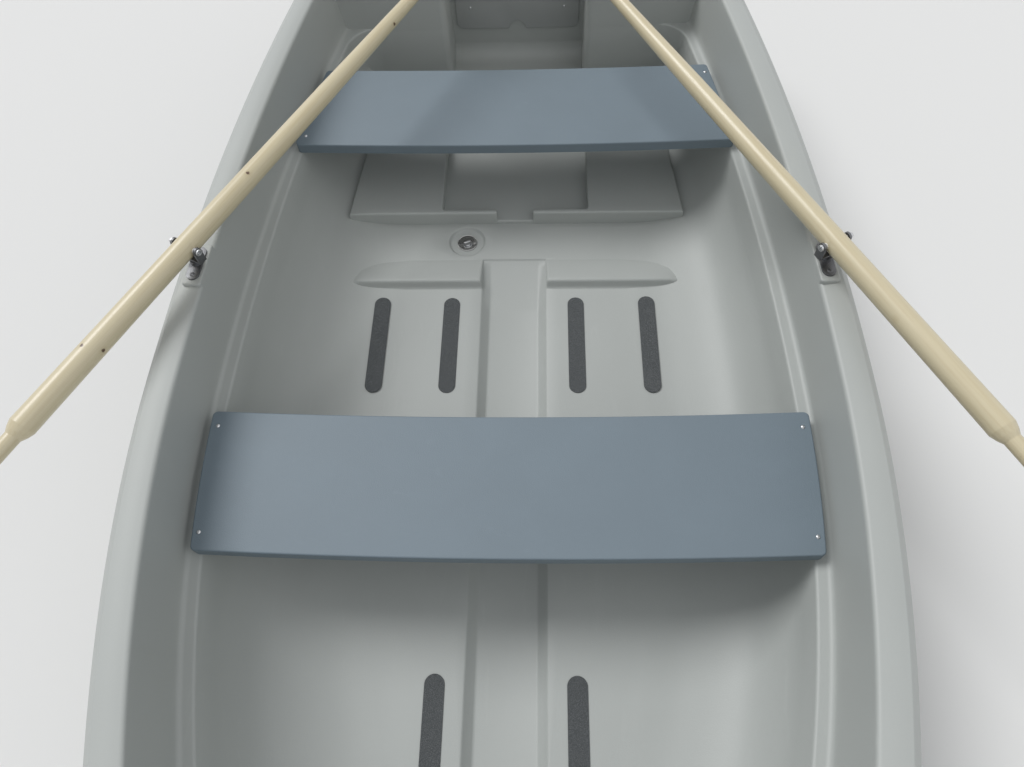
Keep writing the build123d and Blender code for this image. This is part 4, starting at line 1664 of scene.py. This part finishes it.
@dataclass
class Studio:
    """Camera at the photograph's place, soft lights and a pale floor at the waterline."""

    place: Point = (0.0795, -0.4299, 1.8293)
    right: Point = (0.999226, 0.018363, -0.034788)
    up: Point = (0.000272, 0.881111, 0.472909)
    back: Point = (0.039336, -0.472553, 0.880424)
    focal_pixels: float = 743.8
    width_pixels: float = 1024.0
    sensor: float = 36.0
    floor_colour: Colour = (0.80, 0.80, 0.79)
    surround: float = 0.45
    surround_colour: Colour = (0.96, 0.975, 1.0)
    floor_reach: float = 60.0
    # name, where it shines from, spread and strength
    lamps: tuple[tuple[str, Point, float, float], ...] = (
        ("key", (-2.6, 2.2, 4.2), 0.50, 1.75), ("fill", (3.4, -2.6, 3.4), 1.40, 0.45))

    def camera(self) -> None:
        """Set the camera that was fitted to the photograph."""
        data = bpy.data.cameras.new("camera")
        data.sensor_width = self.sensor
        data.lens = self.sensor * self.focal_pixels / self.width_pixels
        data.clip_start, data.clip_end = 0.02, 100.0
        camera = bpy.data.objects.new("camera", data)
        turn = Matrix((self.right, self.up, self.back)).transposed().to_4x4()
        camera.matrix_world = Matrix.Translation(self.place) @ turn
        bpy.context.scene.collection.objects.link(camera)
        bpy.context.scene.camera = camera

    def lights(self) -> None:
        """Broad soft key from starboard and aft, a weak fill from port and fore, and a plain world."""
        for name, place, spread, power in self.lamps:
            data = bpy.data.lights.new(name, "SUN")
            data.angle, data.energy = spread, power
            lamp = bpy.data.objects.new(name, data)
            lamp.location = place
            lamp.rotation_euler = (-Vector(place)).to_track_quat("-Z", "Y").to_euler()
            bpy.context.scene.collection.objects.link(lamp)
        bpy.context.scene.world = self._world()

    def _world(self) -> bpy.types.World:
        """Even surroundings that light softly, and that the camera and shiny surfaces see as white.

        Returns:
            The world.
        """
        world = bpy.data.worlds.new("studio")
        world.use_nodes = True
        tree = world.node_tree
        background = tree.nodes["Background"]
        background.inputs["Color"].default_value = (*self.surround_colour, 1.0)
        path = tree.nodes.new("ShaderNodeLightPath")
        seen = path.outputs["Is Camera Ray"]
        for kind in ("Is Glossy Ray", "Is Transmission Ray"):
            either = tree.nodes.new("ShaderNodeMath")
            either.operation = "MAXIMUM"
            tree.links.new(seen, either.inputs[0])
            tree.links.new(path.outputs[kind], either.inputs[1])
            seen = either.outputs[0]
        level = tree.nodes.new("ShaderNodeMapRange")
        level.inputs["To Min"].default_value = self.surround
        level.inputs["To Max"].default_value = 1.0
        tree.links.new(seen, level.inputs["Value"])
        tree.links.new(level.outputs["Result"], background.inputs["Strength"])
        return world

    def floor(self) -> None:
        """Lay a pale floor at the waterline."""
        far = self.floor_reach
        mesh = bpy.data.meshes.new("floor")
        corners = [(-far, -far, 0.0), (far, -far, 0.0), (far, far, 0.0), (-far, far, 0.0)]
        mesh.from_pydata(corners, [], [(0, 1, 2, 3)])
        floor = linked("floor", mesh)
        shader = Shader("floor")
        shader.feed(base_color=self.floor_colour, roughness=0.9)
        mesh.materials.append(shader.material)

    def build(self) -> None:
        """Set up the whole studio."""
        self.camera()
        self.lights()
        self.floor()
        bpy.context.scene.view_settings.view_transform = "Standard"


# Centres of the knots that show on each loom
KNOTS = {
    "port": ((0.7852, 0.4010, 0.5502),),
    "starboard": ((-0.601, 0.805, 0.562), (-0.854, 0.337, 0.565), (-0.821, 0.338, 0.543),
                  (-0.313, 1.352, 0.543)),
}


def main() -> None:
    """Build the studio and dress the boat, piece by piece."""
    logging.basicConfig(level=logging.INFO, format="%(name)s: %(message)s")
    Studio().build()
    moulded = Moulding("moulded_plastic", (0.43, 0.45, 0.435)).material()
    HullSkin(moulded).build()
    pan = Pan(moulded)
    pan.build()
    Strake(Moulding("rubbing_strake", (0.30, 0.31, 0.31), 0.5).material(), pan.rim()).build()
    steel = Steel("stainless").material()
    board = Board("thwart_board", (0.165, 0.21, 0.245)).material()
    CarriedNodes(board, ("thwart_mid", "thwart_aft", "thwart_fore")).build()
    grit = Grit("grip_strip", (0.12, 0.13, 0.135)).material()
    CarriedNodes(grit, ("grip_pads_mid_bay", "grip_pads_fore_bay")).build()
    sheet = Eased(Moulding("plate_sheet", (0.36, 0.375, 0.37), 0.4).material(), "plate", 0.0015)
    sheet.build("transom_plate_inner", "inner_plate", Body.BOAT)
    sheet.build("transom_plate_outer", "outer_plate", Body.BOAT)
    # The socket's steel is a little darker than the plug's: its own tone plus painted shade in the drain
    # hole.
    DrainSet(Steel("drain_socket_steel_painted_shade", (0.46, 0.46, 0.45), 0.26).material(), steel).build()
    CarriedNodes(Nylon("oar_bush", (0.70, 0.69, 0.64)).material(), both_sides("oar_bush")).build()
    # Cast metal of the rowlocks and their base screws: partly the casting's own dull tone and partly painted
    # dark reflection, its base colour far darker than real steel
    cast_metal_painted_reflection = Steel("cast_steel_painted_reflection", (0.17, 0.172, 0.178), 0.36).material()
    cast = Eased(cast_metal_painted_reflection, "stainless")
    bright = Eased(steel, "stainless", 0.0006)
    for name, fork in (("port", Body.FORK_PORT), ("starboard", Body.FORK_STARBOARD)):
        cast.build(f"oarlock_base_{name}", f"rowlock_base_{name}", Body.BOAT)
        cast.build(f"oarlock_fork_{name}", f"rowlock_fork_{name}", fork)
        OarBolt(steel).build(name, SIDES[name], fork)
        bright.build(f"stern_eye_{name}", f"stern_ring_{name}", Body.BOAT)
    bright.build("bow_eye", "bow_ring", Body.BOAT)
    Fastenings(steel, cast_metal_painted_reflection).build()
    for (name, side), oar in zip(SIDES.items(), (Body.OAR_PORT, Body.OAR_STARBOARD)):
        lock = (side * LOCK[0], LOCK[1], Z_OAR)
        pine = Pine(f"turned_pine_{name}", side * OAR_TURN, lock, knots=KNOTS[name], lathe=0.6)
        CarriedNodes(pine.material(), (f"oar_loom_{name}",)).build()
        planed = replace(pine, name=f"planed_pine_{name}", knots=(), lathe=0.0)
        Eased(planed.material(), "pine", 0.0030, 4).build(f"oar_blade_{name}", f"blade_{name}", oar)


if __name__ == "__main__":
    main()
